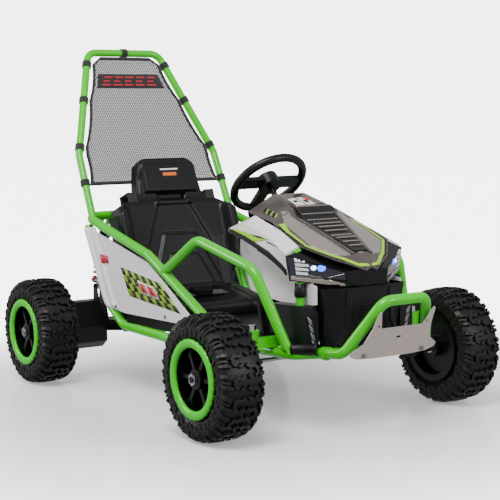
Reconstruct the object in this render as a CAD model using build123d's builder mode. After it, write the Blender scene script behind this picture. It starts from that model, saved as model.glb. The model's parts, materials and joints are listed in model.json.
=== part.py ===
"""Electric ride-on go kart: tube frame with a mesh roof hoop, two-wheel steering and a sprung rear axle.

Millimetres, +X forward, +Y left, +Z up. The origin is on the ground, midway along the overall length.
"""

import os
from math import atan2, cos, degrees, radians, sin, tan

from build123d import *

# ---------------------------------------------------------------- driving sizes
wheelbase = 918.0
track = 728.0  # between the middles of the tyres
nose_reach = 271.0  # front axle to the front of the bumper
axle_z = 150.0

tyre_r = 150.0
tyre_w = 118.0
rim_r = 90.0  # bead seat of the tyre
rim_back = 58.0  # inner end of the rim, from the tyre's middle plane
rim_face = 53.0  # outer end of the rim, where the ring sits
rim_wall = 5.0
bead = 48.0  # half the distance between the tyre's beads
ring_r = 95.0
ring_inner_r = 73.0
ring_t = 7.0
axle_r = 8.0
hub_r = 24.0
spoke_count = 6

tube_od = 25.4
hoop_od = 22.0
tube_wall = 1.5
bend_r = 60.0

half_upper = 235.0  # side tubes, from the middle of the kart
half_rail = 248.0  # lower rails at their widest
half_nose_rail = 189.0
rail_z = 180.0
rail_nose_z = 190.0
hoop_lean = 25.0  # degrees back from upright
hoop_height = 955.0

steer_centre_z = 577.6
steer_back = 283.0  # steering wheel centre behind the front axle
steer_tilt = 43.0  # column, degrees from upright
wheel_ring_r = 97.0
wheel_grip_r = 11.0
kingpin_y = 249.0
kingpin_r = 6.0
steer_arm = 60.0
pitman_end_y = 16.0  # the tie rods' inner pivots, each side of the middle
arm_end_y = kingpin_y + pitman_end_y  # outer pivots: rod, arms and beam stay a parallelogram
tie_rod_z = 159.0

pivot_ahead = 250.0  # swing arm pivot ahead of the rear axle
pivot_z = 172.0
arm_y = 172.0
shock_y = 172.0

running = 0.05  # radial clearance of a shaft in its bore
gap = 0.3  # clearance between pieces that only pass each other
sheet = 3.0  # wall of the moulded covers
touch = 0.2  # between a round tube and the piece that rests on it

# ---------------------------------------------------------------- derived places
overall_length = wheelbase + tyre_r + nose_reach
front_x = overall_length / 2 - nose_reach
rear_x = front_x - wheelbase
tube_r = tube_od / 2
hoop_r = hoop_od / 2
half_track = track / 2
steer_dir = Vector(sin(radians(steer_tilt)), 0, -cos(radians(steer_tilt)))


def front(x, y, z):
    """A point measured from the front axle."""
    return Vector(front_x + x, y, z)


def rear(x, y, z):
    """A point measured from the rear axle."""
    return Vector(rear_x + x, y, z)


def between(a, b, t):
    return a + (b - a) * t


def tube(points, diameter, bend=bend_r, wall=tube_wall):
    """A round tube along straight runs with bent corners; no wall gives its solid envelope."""
    with BuildPart() as swept:
        with BuildLine():
            run = FilletPolyline(*points, radius=bend) if len(points) > 2 else Line(*points)
        with BuildSketch(Plane(run @ 0, z_dir=run % 0)):
            Circle(diameter / 2)
            if wall:
                Circle(diameter / 2 - wall, mode=Mode.SUBTRACT)
        sweep()
    return swept.part


def rod(start, end, radius):
    """A solid round bar from start to end."""
    with BuildPart() as bar:
        with BuildSketch(Plane(start, z_dir=end - start)):
            Circle(radius)
        extrude(amount=(end - start).length)
    return bar.part


def sleeve(start, end, radius, bore):
    """A round boss from start to end with a bore through it."""
    with BuildPart() as boss:
        with BuildSketch(Plane(start, z_dir=end - start)):
            Circle(radius)
            Circle(bore, mode=Mode.SUBTRACT)
        extrude(amount=(end - start).length)
    return boss.part


def hex_bolt(seat, direction, across, head, shank_r=0.0, shank=0.0):
    """A hexagon head that stands on seat along direction, with its shank the other way."""
    with BuildPart() as bolt:
        with BuildSketch(Plane(seat, z_dir=direction)):
            RegularPolygon(across / 2, 6, major_radius=False)
        extrude(amount=head)
        if shank:
            with BuildSketch(Plane(seat, z_dir=-direction)):
                Circle(shank_r)
            extrude(amount=shank)
    return bolt.part


def roof_section(x, outline, thickness):
    """A section across the kart at x: a shell through outline, its inside lower and nearer the middle."""
    under = [(y - thickness * ((y > 0) - (y < 0)), z - thickness) for y, z in reversed(outline)]
    with BuildSketch(Plane(origin=(x, 0, 0), x_dir=(0, 1, 0), z_dir=(1, 0, 0))) as section:
        with BuildLine():
            Polyline(*outline, *under, close=True)
        make_face()
    return section.sketch


def shell(stations, thickness):
    """A straight-lined shell through sections given as (x, outline)."""
    with BuildPart() as lofted:
        for (x0, a), (x1, b) in zip(stations, stations[1:]):
            loft([roof_section(x0, a, thickness), roof_section(x1, b, thickness)], ruled=True)
    return lofted.part


def prism(outline, low, high, plane=Plane.XY):
    """An outline on a plane, raised from low to high along the plane's normal."""
    with BuildPart() as block:
        with BuildSketch(plane.offset(low)):
            with BuildLine():
                Polyline(*outline, close=True)
            make_face()
        extrude(amount=high - low)
    return block.part


def write(part, name):
    part.label = name
    export_step(part, f"parts/{name}.step")


os.makedirs("parts", exist_ok=True)
both = (-1, 1)
side_name = {-1: "right", 1: "left"}
# Sketches on this plane are drawn as (x, z) and rise towards the right side.
SIDE = Plane.XZ

# ---------------------------------------------------------------- frame paths
rail_end = {s: front(116, s * 130, 195) for s in both}
rail_path = {
    s: [
        rear(62, s * half_upper, 448),
        rear(172, s * (half_upper - 3), 236),
        rear(246, s * (half_rail - 20), rail_z),
        front(-395, s * half_rail, rail_z),
        front(-49, s * half_nose_rail, rail_nose_z),
        front(62, s * (half_nose_rail - 8), rail_nose_z),
        rail_end[s],
    ]
    for s in both
}
rail_start, rail_nose = rail_path[-1][3], rail_path[-1][4]


def rail_at(x, side):
    """The middle of the lower rail at x, its bends left aside."""
    a, b = next((a, b) for a, b in zip(rail_path[1], rail_path[1][1:]) if x <= b.X)
    point = between(a, b, (x - a.X) / (b.X - a.X))
    return Vector(x, side * point.Y, point.Z)


corner_z = 475.0
side_bend = 45.0
bar_half = half_upper - side_bend - 1
crossbar_x = rear_x + 51
side_path = {
    s: [
        Vector(crossbar_x, s * bar_half, corner_z),
        Vector(crossbar_x, s * half_upper, corner_z),
        front(-510, s * half_upper, 388),
        rail_at(front_x - 160, s),
    ]
    for s in both
}
hip_path = {
    s: [
        between(side_path[s][2], side_path[s][3], 0.2),
        front(-262, s * half_upper, 444),
        front(-29, s * (half_upper - 10), 389),
        front(56, s * (half_nose_rail - 7), rail_nose_z),
    ]
    for s in both
}

# The roof hoop lies in one leaning plane, whose foot line crosses the side tubes.
foot_t = 0.118
hoop_foot = between(side_path[-1][1], side_path[-1][2], foot_t)
hoop_plane = Plane(
    origin=(hoop_foot.X, 0, hoop_foot.Z),
    x_dir=(0, 1, 0),
    z_dir=(cos(radians(hoop_lean)), 0, sin(radians(hoop_lean))),
)
hoop_rise = (hoop_height - hoop_foot.Z) / cos(radians(hoop_lean))
waist_rise = 204.0
half_waist = half_upper - 4
half_top = 121.0
hoop_outline = [
    (-half_upper, 0),
    (-half_waist, waist_rise),
    (-half_top, hoop_rise),
    (half_top, hoop_rise),
    (half_waist, waist_rise),
    (half_upper, 0),
]
hoop_points = [hoop_plane.from_local_coords(Vector(y, s, 0)) for y, s in hoop_outline]

# Solid stretches of the long tubes, for cutting the tubes that are welded to them.
rail_middle = {s: rod(rail_path[s][3], rail_path[s][4], tube_r) for s in both}
rails_solid = {s: tube(rail_path[s], tube_od, wall=0) for s in both}
sides_solid = {s: tube(side_path[s], tube_od, bend=side_bend, wall=0) for s in both}
nose_cross_x = 50.0
side_rear = {s: rod(side_path[s][1], side_path[s][2], tube_r) for s in both}
side_front = {s: rod(side_path[s][2], side_path[s][3], tube_r) for s in both}

# ---------------------------------------------------------------- frame tubes
with BuildPart() as side_tubes:
    for s in both:
        add(tube(side_path[s], tube_od, bend=side_bend))
        add(rail_middle[s], mode=Mode.SUBTRACT)
write(side_tubes.part, "side_tubes")

with BuildPart() as lower_rails:
    for s in both:
        add(tube(rail_path[s], tube_od))
        add(side_rear[s], mode=Mode.SUBTRACT)
write(lower_rails.part, "lower_rails")

with BuildPart() as hip_hoops:
    for s in both:
        add(tube(hip_path[s], tube_od))
        add(side_front[s], mode=Mode.SUBTRACT)
        add(rails_solid[s], mode=Mode.SUBTRACT)
    nose_cross = front(nose_cross_x, -half_rail, rail_nose_z), front(nose_cross_x, half_rail, rail_nose_z)
    add(rod(*nose_cross, tube_r), mode=Mode.SUBTRACT)
write(hip_hoops.part, "hip_hoops")

with BuildPart() as roof_hoop:
    add(tube(hoop_points, hoop_od, bend=38))
    for s in both:
        add(sides_solid[s], mode=Mode.SUBTRACT)
write(roof_hoop.part, "roof_hoop")

# Crossbar behind the seat, with the two brackets that the shock absorbers hang from.
shock_top = {s: rear(33, s * shock_y, 437) for s in both}
shock_foot = {s: rear(-10, s * shock_y, 262) for s in both}
eye_w = 16.0
eye_r = 9.0
ear_t = 3.0
pin_r = 4.0
ear_clear = eye_w / 2 + gap
drop = Vector(crossbar_x, 0, corner_z) - Vector(shock_top[1].X, 0, shock_top[1].Z)
with BuildPart() as rear_crossbar:
    with BuildSketch(Plane.XZ.offset(-bar_half)):
        with Locations((crossbar_x, corner_z)):
            Circle(tube_r)
    extrude(amount=2 * bar_half)
    for s in both:
        for inside in both:
            with BuildSketch(Plane.XZ.offset(-(shock_top[s].Y + inside * (ear_clear + ear_t / 2)))):
                with Locations((shock_top[s].X, shock_top[s].Z)):
                    Circle(eye_r)
                hang_x, hang_z = (shock_top[s].X + crossbar_x) / 2, (shock_top[s].Z + corner_z) / 2
                with Locations(Location((hang_x, hang_z, 0),
                                        (0, 0, degrees(atan2(drop.Z, drop.X))))):
                    Rectangle(drop.length, 2 * eye_r)
            extrude(amount=ear_t / 2, both=True)
        reach = ear_clear + ear_t + 4
        add(rod(shock_top[s] - Vector(0, reach, 0), shock_top[s] + Vector(0, reach, 0), pin_r))
    with BuildSketch(Plane.XZ.offset(-bar_half)):
        with Locations((crossbar_x, corner_z)):
            Circle(tube_r - tube_wall)
    extrude(amount=2 * bar_half, mode=Mode.SUBTRACT)
write(rear_crossbar.part, "rear_crossbar")

# The nose: a thin folded skid plate on two stays.
plate_t = 2.5
stay_y, stay_z = 87.0, 199.0
fold = (246.0, 262.0)  # x ahead of the front axle, and z, of the plate's crease
plate_low = (205.0, 187.0)
plate_tip = (nose_reach - plate_t - 0.5, 304.0)


def on_plate(z):
    """How far ahead of the front axle the plate's back face is at height z."""
    low, high = (plate_low, fold) if z < fold[1] else (fold, plate_tip)
    return low[0] + (high[0] - low[0]) * (z - low[1]) / (high[1] - low[1])


plate_tilt = atan2(fold[0] - plate_low[0], fold[1] - plate_low[1])
plate_out = Vector(cos(plate_tilt), 0, -sin(plate_tilt))

# Tubes between the lower rails: the swing arm's pivot, two under the seat, two at the nose.
pivot = rear(pivot_ahead, 0, pivot_z)
pivot_r = 11.0
nose_tube_x, nose_tube_r = 102.0, 10.0
stay_r = 5.0
cross_spots = (
    (pivot.X, pivot_z, pivot_r),
    (front_x - 560, rail_z, tube_r),
    (front_x - 320, rail_z + 2, tube_r),
    (front_x + nose_cross_x, rail_nose_z, tube_r),
    (front_x + nose_tube_x, 195, nose_tube_r),
)
with BuildPart() as cross_tubes:
    for x, z, radius in cross_spots:
        reach = rail_at(x, 1).Y
        add(rod(Vector(x, -reach, z), Vector(x, reach, z), radius))
    for s in both:
        stay_root = front(nose_tube_x, s * stay_y, stay_z)
        add(rod(stay_root, front(on_plate(stay_z) - 3.2, s * stay_y, stay_z), stay_r))
    for x, z, radius in cross_spots:
        add(rod(Vector(x, -half_rail, z), Vector(x, half_rail, z), radius - tube_wall), mode=Mode.SUBTRACT)
    for s in both:
        add(rails_solid[s], mode=Mode.SUBTRACT)
write(cross_tubes.part, "cross_tubes")

# ---------------------------------------------------------------- front beam and steering
beam_low, beam_high = 203.0, 226.0
beam_half_x = 14.0
kingpin_x = front_x - 4
pitman_x = kingpin_x
pitman_r = 8.0
sleeve_low, sleeve_high = 186.0, 247.0
with BuildPart() as front_beam:
    with BuildSketch(Plane.XZ.offset(-kingpin_y)):
        with Locations((kingpin_x, (beam_low + beam_high) / 2)):
            Rectangle(2 * beam_half_x, beam_high - beam_low)
            Rectangle(2 * beam_half_x - 5, beam_high - beam_low - 5, mode=Mode.SUBTRACT)
    extrude(amount=2 * kingpin_y)
    for s in both:
        with BuildSketch(Plane.XY.offset(sleeve_low)) as sleeve_foot:
            with Locations((kingpin_x, s * kingpin_y)):
                Circle(13)
        with BuildSketch(Plane.XY.offset(sleeve_high)) as sleeve_head:
            with Locations((kingpin_x, s * kingpin_y)):
                Circle(18)
        loft()
    with Locations((pitman_x, 0, beam_low - 4)):
        Cylinder(15, beam_high - beam_low + 10, align=(Align.CENTER, Align.CENTER, Align.MIN))
    with Locations((kingpin_x, -kingpin_y, 0), (kingpin_x, kingpin_y, 0)):
        Cylinder(kingpin_r + running, 600, mode=Mode.SUBTRACT)
    with Locations((pitman_x, 0, 0)):
        Cylinder(pitman_r + running, 600, mode=Mode.SUBTRACT)
    for s in both:
        add(rod(rail_path[s][4], rail_path[s][5], tube_r), mode=Mode.SUBTRACT)
write(front_beam.part, "front_beam")

hub_recess = 6.0  # the hub's outer end, behind the rim's outer end
nut_in = half_track + rim_face - hub_recess + gap
stub_out = nut_in + 10
knuckle_top = sleeve_low - gap
knuckle_low = 132.0
arm_low, arm_high = 166.0, 176.0
link_pin_r = 4.0
washer_t = 4.0
wheel_in = half_track - rim_back - gap
for s in both:
    stub = Vector(front_x, s * kingpin_y, axle_z)
    with BuildPart() as knuckle:
        with Locations((kingpin_x, s * kingpin_y, knuckle_low)):
            Cylinder(15, knuckle_top - knuckle_low, align=(Align.CENTER, Align.CENTER, Align.MIN))
        add(rod(stub, Vector(front_x, s * stub_out, axle_z), axle_r))
        add(rod(stub, Vector(front_x, s * (wheel_in - washer_t), axle_z), 13))
        arm_tip = kingpin_x - steer_arm - 9
        arm = [(kingpin_x + 8, s * (kingpin_y + 9)), (kingpin_x + 8, s * (kingpin_y - 9)),
               (arm_tip, s * (arm_end_y - 9)), (arm_tip, s * (arm_end_y + 9))]
        add(prism(arm, arm_low, arm_high))
        with Locations((kingpin_x - steer_arm, s * arm_end_y, tie_rod_z - 7)):
            Cylinder(link_pin_r, arm_low - tie_rod_z + 8, align=(Align.CENTER, Align.CENTER, Align.MIN))
        with Locations((kingpin_x, s * kingpin_y, 0)):
            Cylinder(kingpin_r, 600, mode=Mode.SUBTRACT)
    write(knuckle.part, f"knuckle_{side_name[s]}")

    with BuildPart() as knuckle_bolts:
        add(hex_bolt(Vector(kingpin_x, s * kingpin_y, sleeve_high + gap), Vector(0, 0, 1), 19, 12,
                     kingpin_r, sleeve_high + gap - knuckle_low))
        washer = Vector(front_x, s * (wheel_in - washer_t), axle_z)
        add(sleeve(washer, washer + Vector(0, s * (washer_t - gap), 0), 16, axle_r))
        with BuildSketch(Plane(Vector(front_x, s * nut_in, axle_z), z_dir=Vector(0, s, 0))):
            RegularPolygon(13, 6, major_radius=False)
            Circle(axle_r, mode=Mode.SUBTRACT)
        extrude(amount=8)
    write(knuckle_bolts.part, f"knuckle_bolts_{side_name[s]}")

# Lower steering shaft: turns upright in the beam's middle boss and swings the tie rods.
joint_z = steer_centre_z - (steer_back - 4) / tan(radians(steer_tilt))
joint_centre = Vector(pitman_x, 0, joint_z)
ball_r = 13.0
cup_foot, cup_h = joint_z - 22, 14.0
with BuildPart() as pitman_shaft:
    with Locations((pitman_x, 0, arm_low)):
        Cylinder(pitman_r, cup_foot - arm_low, align=(Align.CENTER, Align.CENTER, Align.MIN))
    with Locations((pitman_x, 0, cup_foot)):
        Cylinder(ball_r - 2, cup_h, align=(Align.CENTER, Align.CENTER, Align.MIN))
    with Locations(joint_centre):
        Sphere(ball_r + gap, mode=Mode.SUBTRACT)
    plate = [(pitman_x + 12, -12), (pitman_x + 12, 12), (pitman_x - steer_arm - 9, pitman_end_y + 9),
             (pitman_x - steer_arm - 9, -pitman_end_y - 9)]
    add(prism(plate, arm_low, arm_high))
    for s in both:
        with Locations((pitman_x - steer_arm, s * pitman_end_y, tie_rod_z - 7)):
            Cylinder(link_pin_r, arm_low - tie_rod_z + 8, align=(Align.CENTER, Align.CENTER, Align.MIN))
write(pitman_shaft.part, "pitman_shaft")

for s in both:
    inner = Vector(pitman_x - steer_arm, s * pitman_end_y, tie_rod_z)
    outer = Vector(kingpin_x - steer_arm, s * arm_end_y, tie_rod_z)
    with BuildPart() as tie_rod:
        add(rod(inner, outer, 5))
        with Locations(inner, outer):
            Cylinder(9, 11)
            Cylinder(link_pin_r + running, 40, mode=Mode.SUBTRACT)
    write(tie_rod.part, f"tie_rod_{side_name[s]}")

# Steering wheel: ring, three spokes and a hub, square to the tilted column.
wheel_centre = front(-steer_back, 0, steer_centre_z)
wheel_plane = Plane(origin=wheel_centre, x_dir=(0, -1, 0), z_dir=-steer_dir)
column_r = 8.0
hub_half = 16.0
with BuildPart(wheel_plane) as steering_wheel:
    with BuildSketch(Plane(origin=wheel_centre, x_dir=(0, -1, 0), z_dir=wheel_plane.y_dir)):
        with Locations((wheel_ring_r, 0)):
            Circle(wheel_grip_r)
    revolve(axis=Axis(wheel_centre, wheel_plane.z_dir))
    with BuildSketch(wheel_plane.offset(-hub_half)):
        Circle(30)
    extrude(amount=2 * hub_half)
    with BuildSketch(wheel_plane.offset(-7)):
        with Locations((0, 4)):
            Rectangle(2 * (wheel_ring_r - 4), 34)
        with Locations((0, -wheel_ring_r / 2)):
            Rectangle(30, wheel_ring_r - 8)
    extrude(amount=12)
write(steering_wheel.part, "steering_wheel")

with BuildPart() as column_shaft:
    add(rod(wheel_centre + steer_dir * hub_half, joint_centre, column_r))
    with Locations(joint_centre):
        Sphere(ball_r)
write(column_shaft.part, "column_shaft")

# The column's bearing, on two legs that stand on the front beam.
bush_at = wheel_centre + steer_dir * 250
with BuildPart() as column_support:
    add(rod(bush_at - steer_dir * 20, bush_at + steer_dir * 20, 15))
    for s in both:
        add(rod(Vector(kingpin_x, s * 70, beam_high), bush_at + Vector(0, s * 8, 0), 7))
    add(rod(bush_at - steer_dir * 60, bush_at + steer_dir * 60, column_r + running), mode=Mode.SUBTRACT)
    with BuildSketch(Plane.XY.offset(beam_low)):
        Rectangle(3000, 1000)
    extrude(amount=beam_high - beam_low, mode=Mode.SUBTRACT)
write(column_support.part, "column_support")

# ---------------------------------------------------------------- wheels
wheel_at = {
    "front_right": front(0, -half_track, axle_z),
    "front_left": front(0, half_track, axle_z),
    "rear_right": rear(0, -half_track, axle_z),
    "rear_left": rear(0, half_track, axle_z),
}
shoulder = tyre_w / 2
dish_depth, dish_t = 20.0, 8.0
hollow = rim_face + rim_back - dish_depth - dish_t
for corner, centre in wheel_at.items():
    s = 1 if centre.Y > 0 else -1
    with BuildPart() as tyre:
        with BuildSketch(Plane(origin=centre, x_dir=(0, 1, 0), z_dir=(1, 0, 0))):
            with BuildLine():
                Polyline((-bead + 10, rim_r + gap), (-bead - 2, rim_r + gap), (-bead - 2, ring_r + 2),
                         (-shoulder, rim_r + 22), (-shoulder, tyre_r - 22), (-shoulder + 16, tyre_r - 4),
                         (-shoulder / 3, tyre_r), (shoulder / 3, tyre_r), (shoulder - 16, tyre_r - 4),
                         (shoulder, tyre_r - 22), (shoulder, rim_r + 22), (bead + 2, ring_r + 2),
                         (bead + 2, rim_r + gap), (bead - 10, rim_r + gap), (bead - 4, rim_r + 14),
                         (shoulder - 14, tyre_r - 24), (0, tyre_r - 12), (-shoulder + 14, tyre_r - 24),
                         (-bead + 4, rim_r + 14), close=True)
            make_face()
        revolve(axis=Axis(centre, Vector(0, 1, 0)))
    write(tyre.part, f"tyre_{corner}")

    # Rim: barrel with a closed inner dish, a hub and forked spokes outside.
    with BuildPart() as rim:
        with BuildSketch(Plane(origin=centre, x_dir=(0, 1, 0), z_dir=(1, 0, 0))):
            with Locations((s * (rim_face - rim_back) / 2, 0)):
                Rectangle(rim_face + rim_back, rim_r, align=(Align.CENTER, Align.MIN))
        revolve(axis=Axis(centre, Vector(0, 1, 0)))
        face_out = Plane(origin=centre + Vector(0, s * rim_face, 0), x_dir=(1, 0, 0), z_dir=(0, s, 0))
        with BuildSketch(face_out.offset(-hollow)):
            Circle(rim_r - rim_wall)
        extrude(amount=hollow + 10, mode=Mode.SUBTRACT)
        with BuildSketch(face_out.offset(-hollow)):
            Circle(hub_r)
        extrude(amount=hollow - hub_recess)
        with BuildSketch(face_out.offset(-26)):
            with PolarLocations(0, spoke_count):
                with Locations((rim_r * 0.36, 0)):
                    Rectangle(rim_r * 0.5, 10)
            with PolarLocations(rim_r * 0.62, spoke_count):
                for tilt in both:
                    with Locations(Location((rim_r * 0.15, tilt * 8, 0), (0, 0, tilt * 32))):
                        Rectangle(rim_r * 0.42, 8)
            with BuildSketch(mode=Mode.INTERSECT):
                Circle(rim_r - 2)
        extrude(amount=14)
        with BuildSketch(face_out.offset(-rim_face - rim_back - 10)):
            Circle(rim_r - 16)
            Circle(hub_r + 4, mode=Mode.SUBTRACT)
        extrude(amount=10 + dish_depth, mode=Mode.SUBTRACT)
        with Locations(Location(centre, (90, 0, 0))):
            Cylinder(axle_r + running, 400, mode=Mode.SUBTRACT)
    write(rim.part, f"rim_{corner}")

    with BuildPart() as ring:
        with BuildSketch(face_out):
            Circle(ring_r)
            Circle(ring_inner_r, mode=Mode.SUBTRACT)
        extrude(amount=ring_t)
        with BuildSketch(face_out.offset(ring_t - 3)):
            with PolarLocations(ring_r - 4, 16):
                Circle(2.5)
        extrude(amount=20, mode=Mode.SUBTRACT)
    write(ring.part, f"wheel_ring_{corner}")

# ---------------------------------------------------------------- rear axle on its swing arm
axle_line = rear(0, 0, axle_z)
arm_boss = 40.0
arm_bar = 22.0
with BuildPart() as swing_arm:
    for s in both:
        boss = Vector(pivot.X, s * (arm_y - arm_boss / 2), pivot.Z)
        add(rod(boss, boss + Vector(0, s * arm_boss, 0), 17))
        with BuildSketch(Plane.XZ.offset(-s * arm_y)):
            with BuildLine():
                Polyline((pivot.X, pivot.Z + arm_bar / 2), (rear_x, axle_z + arm_bar / 2 + 8),
                         (rear_x, axle_z - arm_bar / 2 - 8), (pivot.X, pivot.Z - arm_bar / 2), close=True)
            make_face()
        extrude(amount=arm_bar / 2, both=True)
    with BuildSketch(Plane.XZ.offset(-arm_y)):
        with Locations((rear_x, axle_z)):
            Circle(19)
    extrude(amount=2 * arm_y)
    # Towers on the bars carry the feet of the shock absorbers.
    for s in both:
        foot = shock_foot[s]
        for inside in both:
            with BuildSketch(Plane.XZ.offset(-(foot.Y + inside * (ear_clear + ear_t / 2)))):
                with BuildLine():
                    Polyline((rear_x - 26, axle_z + 17), (rear_x + 34, axle_z + 17),
                             (foot.X + eye_r, foot.Z), (foot.X - eye_r, foot.Z), close=True)
                make_face()
                with Locations((foot.X, foot.Z)):
                    Circle(eye_r)
            extrude(amount=ear_t / 2, both=True)
        with Locations((rear_x + 4, foot.Y, axle_z + 17)):
            Box(60, 2 * (ear_clear + ear_t), 5, align=(Align.CENTER, Align.CENTER, Align.MIN))
        reach = ear_clear + ear_t + 4
        add(rod(foot - Vector(0, reach, 0), foot + Vector(0, reach, 0), pin_r))
    with BuildSketch(Plane.XZ.offset(-half_track)):
        with Locations((rear_x, axle_z)):
            Circle(axle_r + running)
        with Locations((pivot.X, pivot.Z)):
            Circle(pivot_r + running)
    extrude(amount=track, mode=Mode.SUBTRACT)
write(swing_arm.part, "swing_arm")

# Motor and gear casings: one beside each rear wheel, rising to the shock absorber's foot.
case_in, case_out = arm_y + arm_bar / 2 + gap, wheel_in - washer_t - gap
with BuildPart() as gear_cases:
    for s in both:
        low_y = min(s * case_in, s * case_out)
        with BuildSketch(Plane.XZ.offset(-low_y)):
            with BuildLine():
                Polyline((rear_x + 62, axle_z - 40), (rear_x + 30, axle_z - 62), (rear_x - 34, axle_z - 62),
                         (rear_x - 52, axle_z - 30), (rear_x - 46, axle_z + 46), (rear_x - 30, axle_z + 74),
                         (rear_x + 18, axle_z + 74), (rear_x + 46, axle_z + 40), (rear_x + 62, axle_z + 6),
                         close=True)
            make_face()
        extrude(amount=-(case_out - case_in))
        fillet(gear_cases.edges().filter_by(Axis.Y).group_by(Axis.Y)[0 if s < 0 else -1], 8)
    with BuildSketch(Plane.XZ.offset(-half_track)):
        with Locations((rear_x, axle_z)):
            Circle(axle_r + gap)
    extrude(amount=track, mode=Mode.SUBTRACT)
write(gear_cases.part, "gear_cases")

with BuildPart() as rear_axle:
    add(rod(rear(0, -stub_out, axle_z), rear(0, stub_out, axle_z), axle_r))
    for s in both:
        washer = rear(0, s * (wheel_in - washer_t), axle_z)
        add(rod(washer, washer + Vector(0, s * (washer_t - gap), 0), 14))
        add(hex_bolt(rear(0, s * nut_in, axle_z), Vector(0, s, 0), 26, 8))
write(rear_axle.part, "rear_axle")

# Shock absorbers: tube hung from the crossbar, rod standing on the tower, coil spring round both.
shock_dir = (shock_foot[1] - shock_top[1]).normalized()
shock_len = (shock_foot[1] - shock_top[1]).length
tube_len, rod_len = 92.0, 118.0
cup_r, coil_r, wire_r, coil_count = 22.0, 17.5, 2.5, 8
damper_r, rod_r = 11.0, 5.0
with BuildPart() as shock_bodies:
    for s in both:
        top = shock_top[s]
        add(rod(top - Vector(0, eye_w / 2, 0), top + Vector(0, eye_w / 2, 0), eye_r))
        add(rod(top, top + shock_dir * 16, eye_w / 2 - 1))
        add(rod(top + shock_dir * (eye_r + 3), top + shock_dir * tube_len, damper_r))
        add(rod(top + shock_dir * 22, top + shock_dir * 27, cup_r))
        add(rod(top + shock_dir * 35, top + shock_dir * (tube_len + 1), rod_r + 1.5), mode=Mode.SUBTRACT)
        add(rod(top - Vector(0, 40, 0), top + Vector(0, 40, 0), pin_r + running), mode=Mode.SUBTRACT)
write(shock_bodies.part, "shock_bodies")

with BuildPart() as shock_rods:
    for s in both:
        foot = shock_foot[s]
        add(rod(foot - Vector(0, eye_w / 2, 0), foot + Vector(0, eye_w / 2, 0), eye_r))
        add(rod(foot, foot - shock_dir * rod_len, rod_r))
        add(rod(foot - shock_dir * 16, foot - shock_dir * 21, cup_r))
        add(rod(foot - Vector(0, 40, 0), foot + Vector(0, 40, 0), pin_r + running), mode=Mode.SUBTRACT)
write(shock_rods.part, "shock_rods")

spring_top_at = 27 + gap
spring_span = shock_len - 21 - gap - spring_top_at
with BuildPart() as shock_springs:
    for s in both:
        start = shock_top[s] + shock_dir * (spring_top_at + wire_r)
        with BuildLine():
            turns = Helix(pitch=(spring_span - 2 * wire_r) / coil_count, height=spring_span - 2 * wire_r,
                          radius=coil_r, center=start, direction=shock_dir)
        with BuildSketch(Plane(turns @ 0, z_dir=turns % 0)):
            Circle(wire_r)
        sweep(path=turns, is_frenet=True)
write(shock_springs.part, "shock_springs")

# ---------------------------------------------------------------- nose: bumper and skid plate
bumper_x = nose_reach - tube_r
bumper_end = 120.0
bumper_path = [
    front(bumper_end, -129, 195),
    front(186, -124, 202),
    front(bumper_x, -62, 326),
    front(bumper_x, 62, 326),
    front(186, 124, 202),
    front(bumper_end, 129, 195),
]
collar_r = tube_r + 3

with BuildPart() as front_bumper:
    add(tube(bumper_path, tube_od, bend=34))
    for s in both:
        end = front(bumper_end, s * 129, 195)
        add(rod(end + Vector(-1, 0, 0), end + Vector(12, 0, 0.8), collar_r))
    add(tube(bumper_path, tube_od - 2 * tube_wall, bend=34, wall=0), mode=Mode.SUBTRACT)
    for s in both:
        add(tube(rail_path[s], tube_od + 2 * touch, wall=0), mode=Mode.SUBTRACT)
write(front_bumper.part, "front_bumper")

plate_outline = [(-62, 262), (-78, 304), (-84, 300), (-88, 262), (-100, 226), (-128, 208), (-126, 198),
                 (-104, 190), (-60, 187), (60, 187), (104, 190), (126, 198), (128, 208), (100, 226),
                 (88, 262), (84, 300), (78, 304), (62, 262)]
with BuildPart() as skid_plate:
    with BuildSketch(SIDE.offset(-140)):
        with BuildLine():
            Polyline((front_x + plate_low[0], plate_low[1]), (front_x + fold[0], fold[1]),
                     (front_x + plate_tip[0], plate_tip[1]),
                     (front_x + plate_tip[0] + plate_t, plate_tip[1]),
                     (front_x + fold[0] + plate_t, fold[1]),
                     (front_x + plate_low[0] + plate_t, plate_low[1]), close=True)
        make_face()
    extrude(amount=280)
    with BuildSketch(Plane(origin=(front_x + 150, 0, 0), x_dir=(0, 1, 0), z_dir=(1, 0, 0))):
        with BuildLine():
            Polyline(*plate_outline, close=True)
        make_face()
        with Locations((-stay_y, stay_z), (stay_y, stay_z), (-72, 268), (72, 268)):
            Circle(3.3, mode=Mode.SUBTRACT)
        with Locations((0, 236)):
            Rectangle(14, 5, mode=Mode.SUBTRACT)
    extrude(amount=200, mode=Mode.INTERSECT)
    add(tube(bumper_path, tube_od + 2 * touch, bend=34, wall=0), mode=Mode.SUBTRACT)
write(skid_plate.part, "skid_plate")

# ---------------------------------------------------------------- floor pan and what stands on it
floor_rear_z = rail_z + tube_r + touch
pan_half = half_upper + 1
pan_wall_z = 222.0
pan_rear = rear_x + 160
pan_front = front_x - 58
pan_plan = [(pan_rear, 203), (rear_x + 266, 203), (rear_x + 280, pan_half), (front_x - 395, pan_half),
            (front_x - 262, 192), (pan_front, 182)]
pan_inner = [(pan_rear + sheet, 200), (rear_x + 264, 200), (rear_x + 279, pan_half - sheet),
             (front_x - 396, pan_half - sheet), (front_x - 263, 189), (pan_front - sheet, 179)]


def mirrored(points):
    """A plan outline given for the left side, closed through the right side."""
    return points + [(x, -y) for x, y in reversed(points)]


def floor_z(x):
    """The underside of the floor, which follows the tops of the rails."""
    if x <= rail_start.X:
        return floor_rear_z
    return rail_at(x, 1).Z + tube_r + touch


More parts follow.
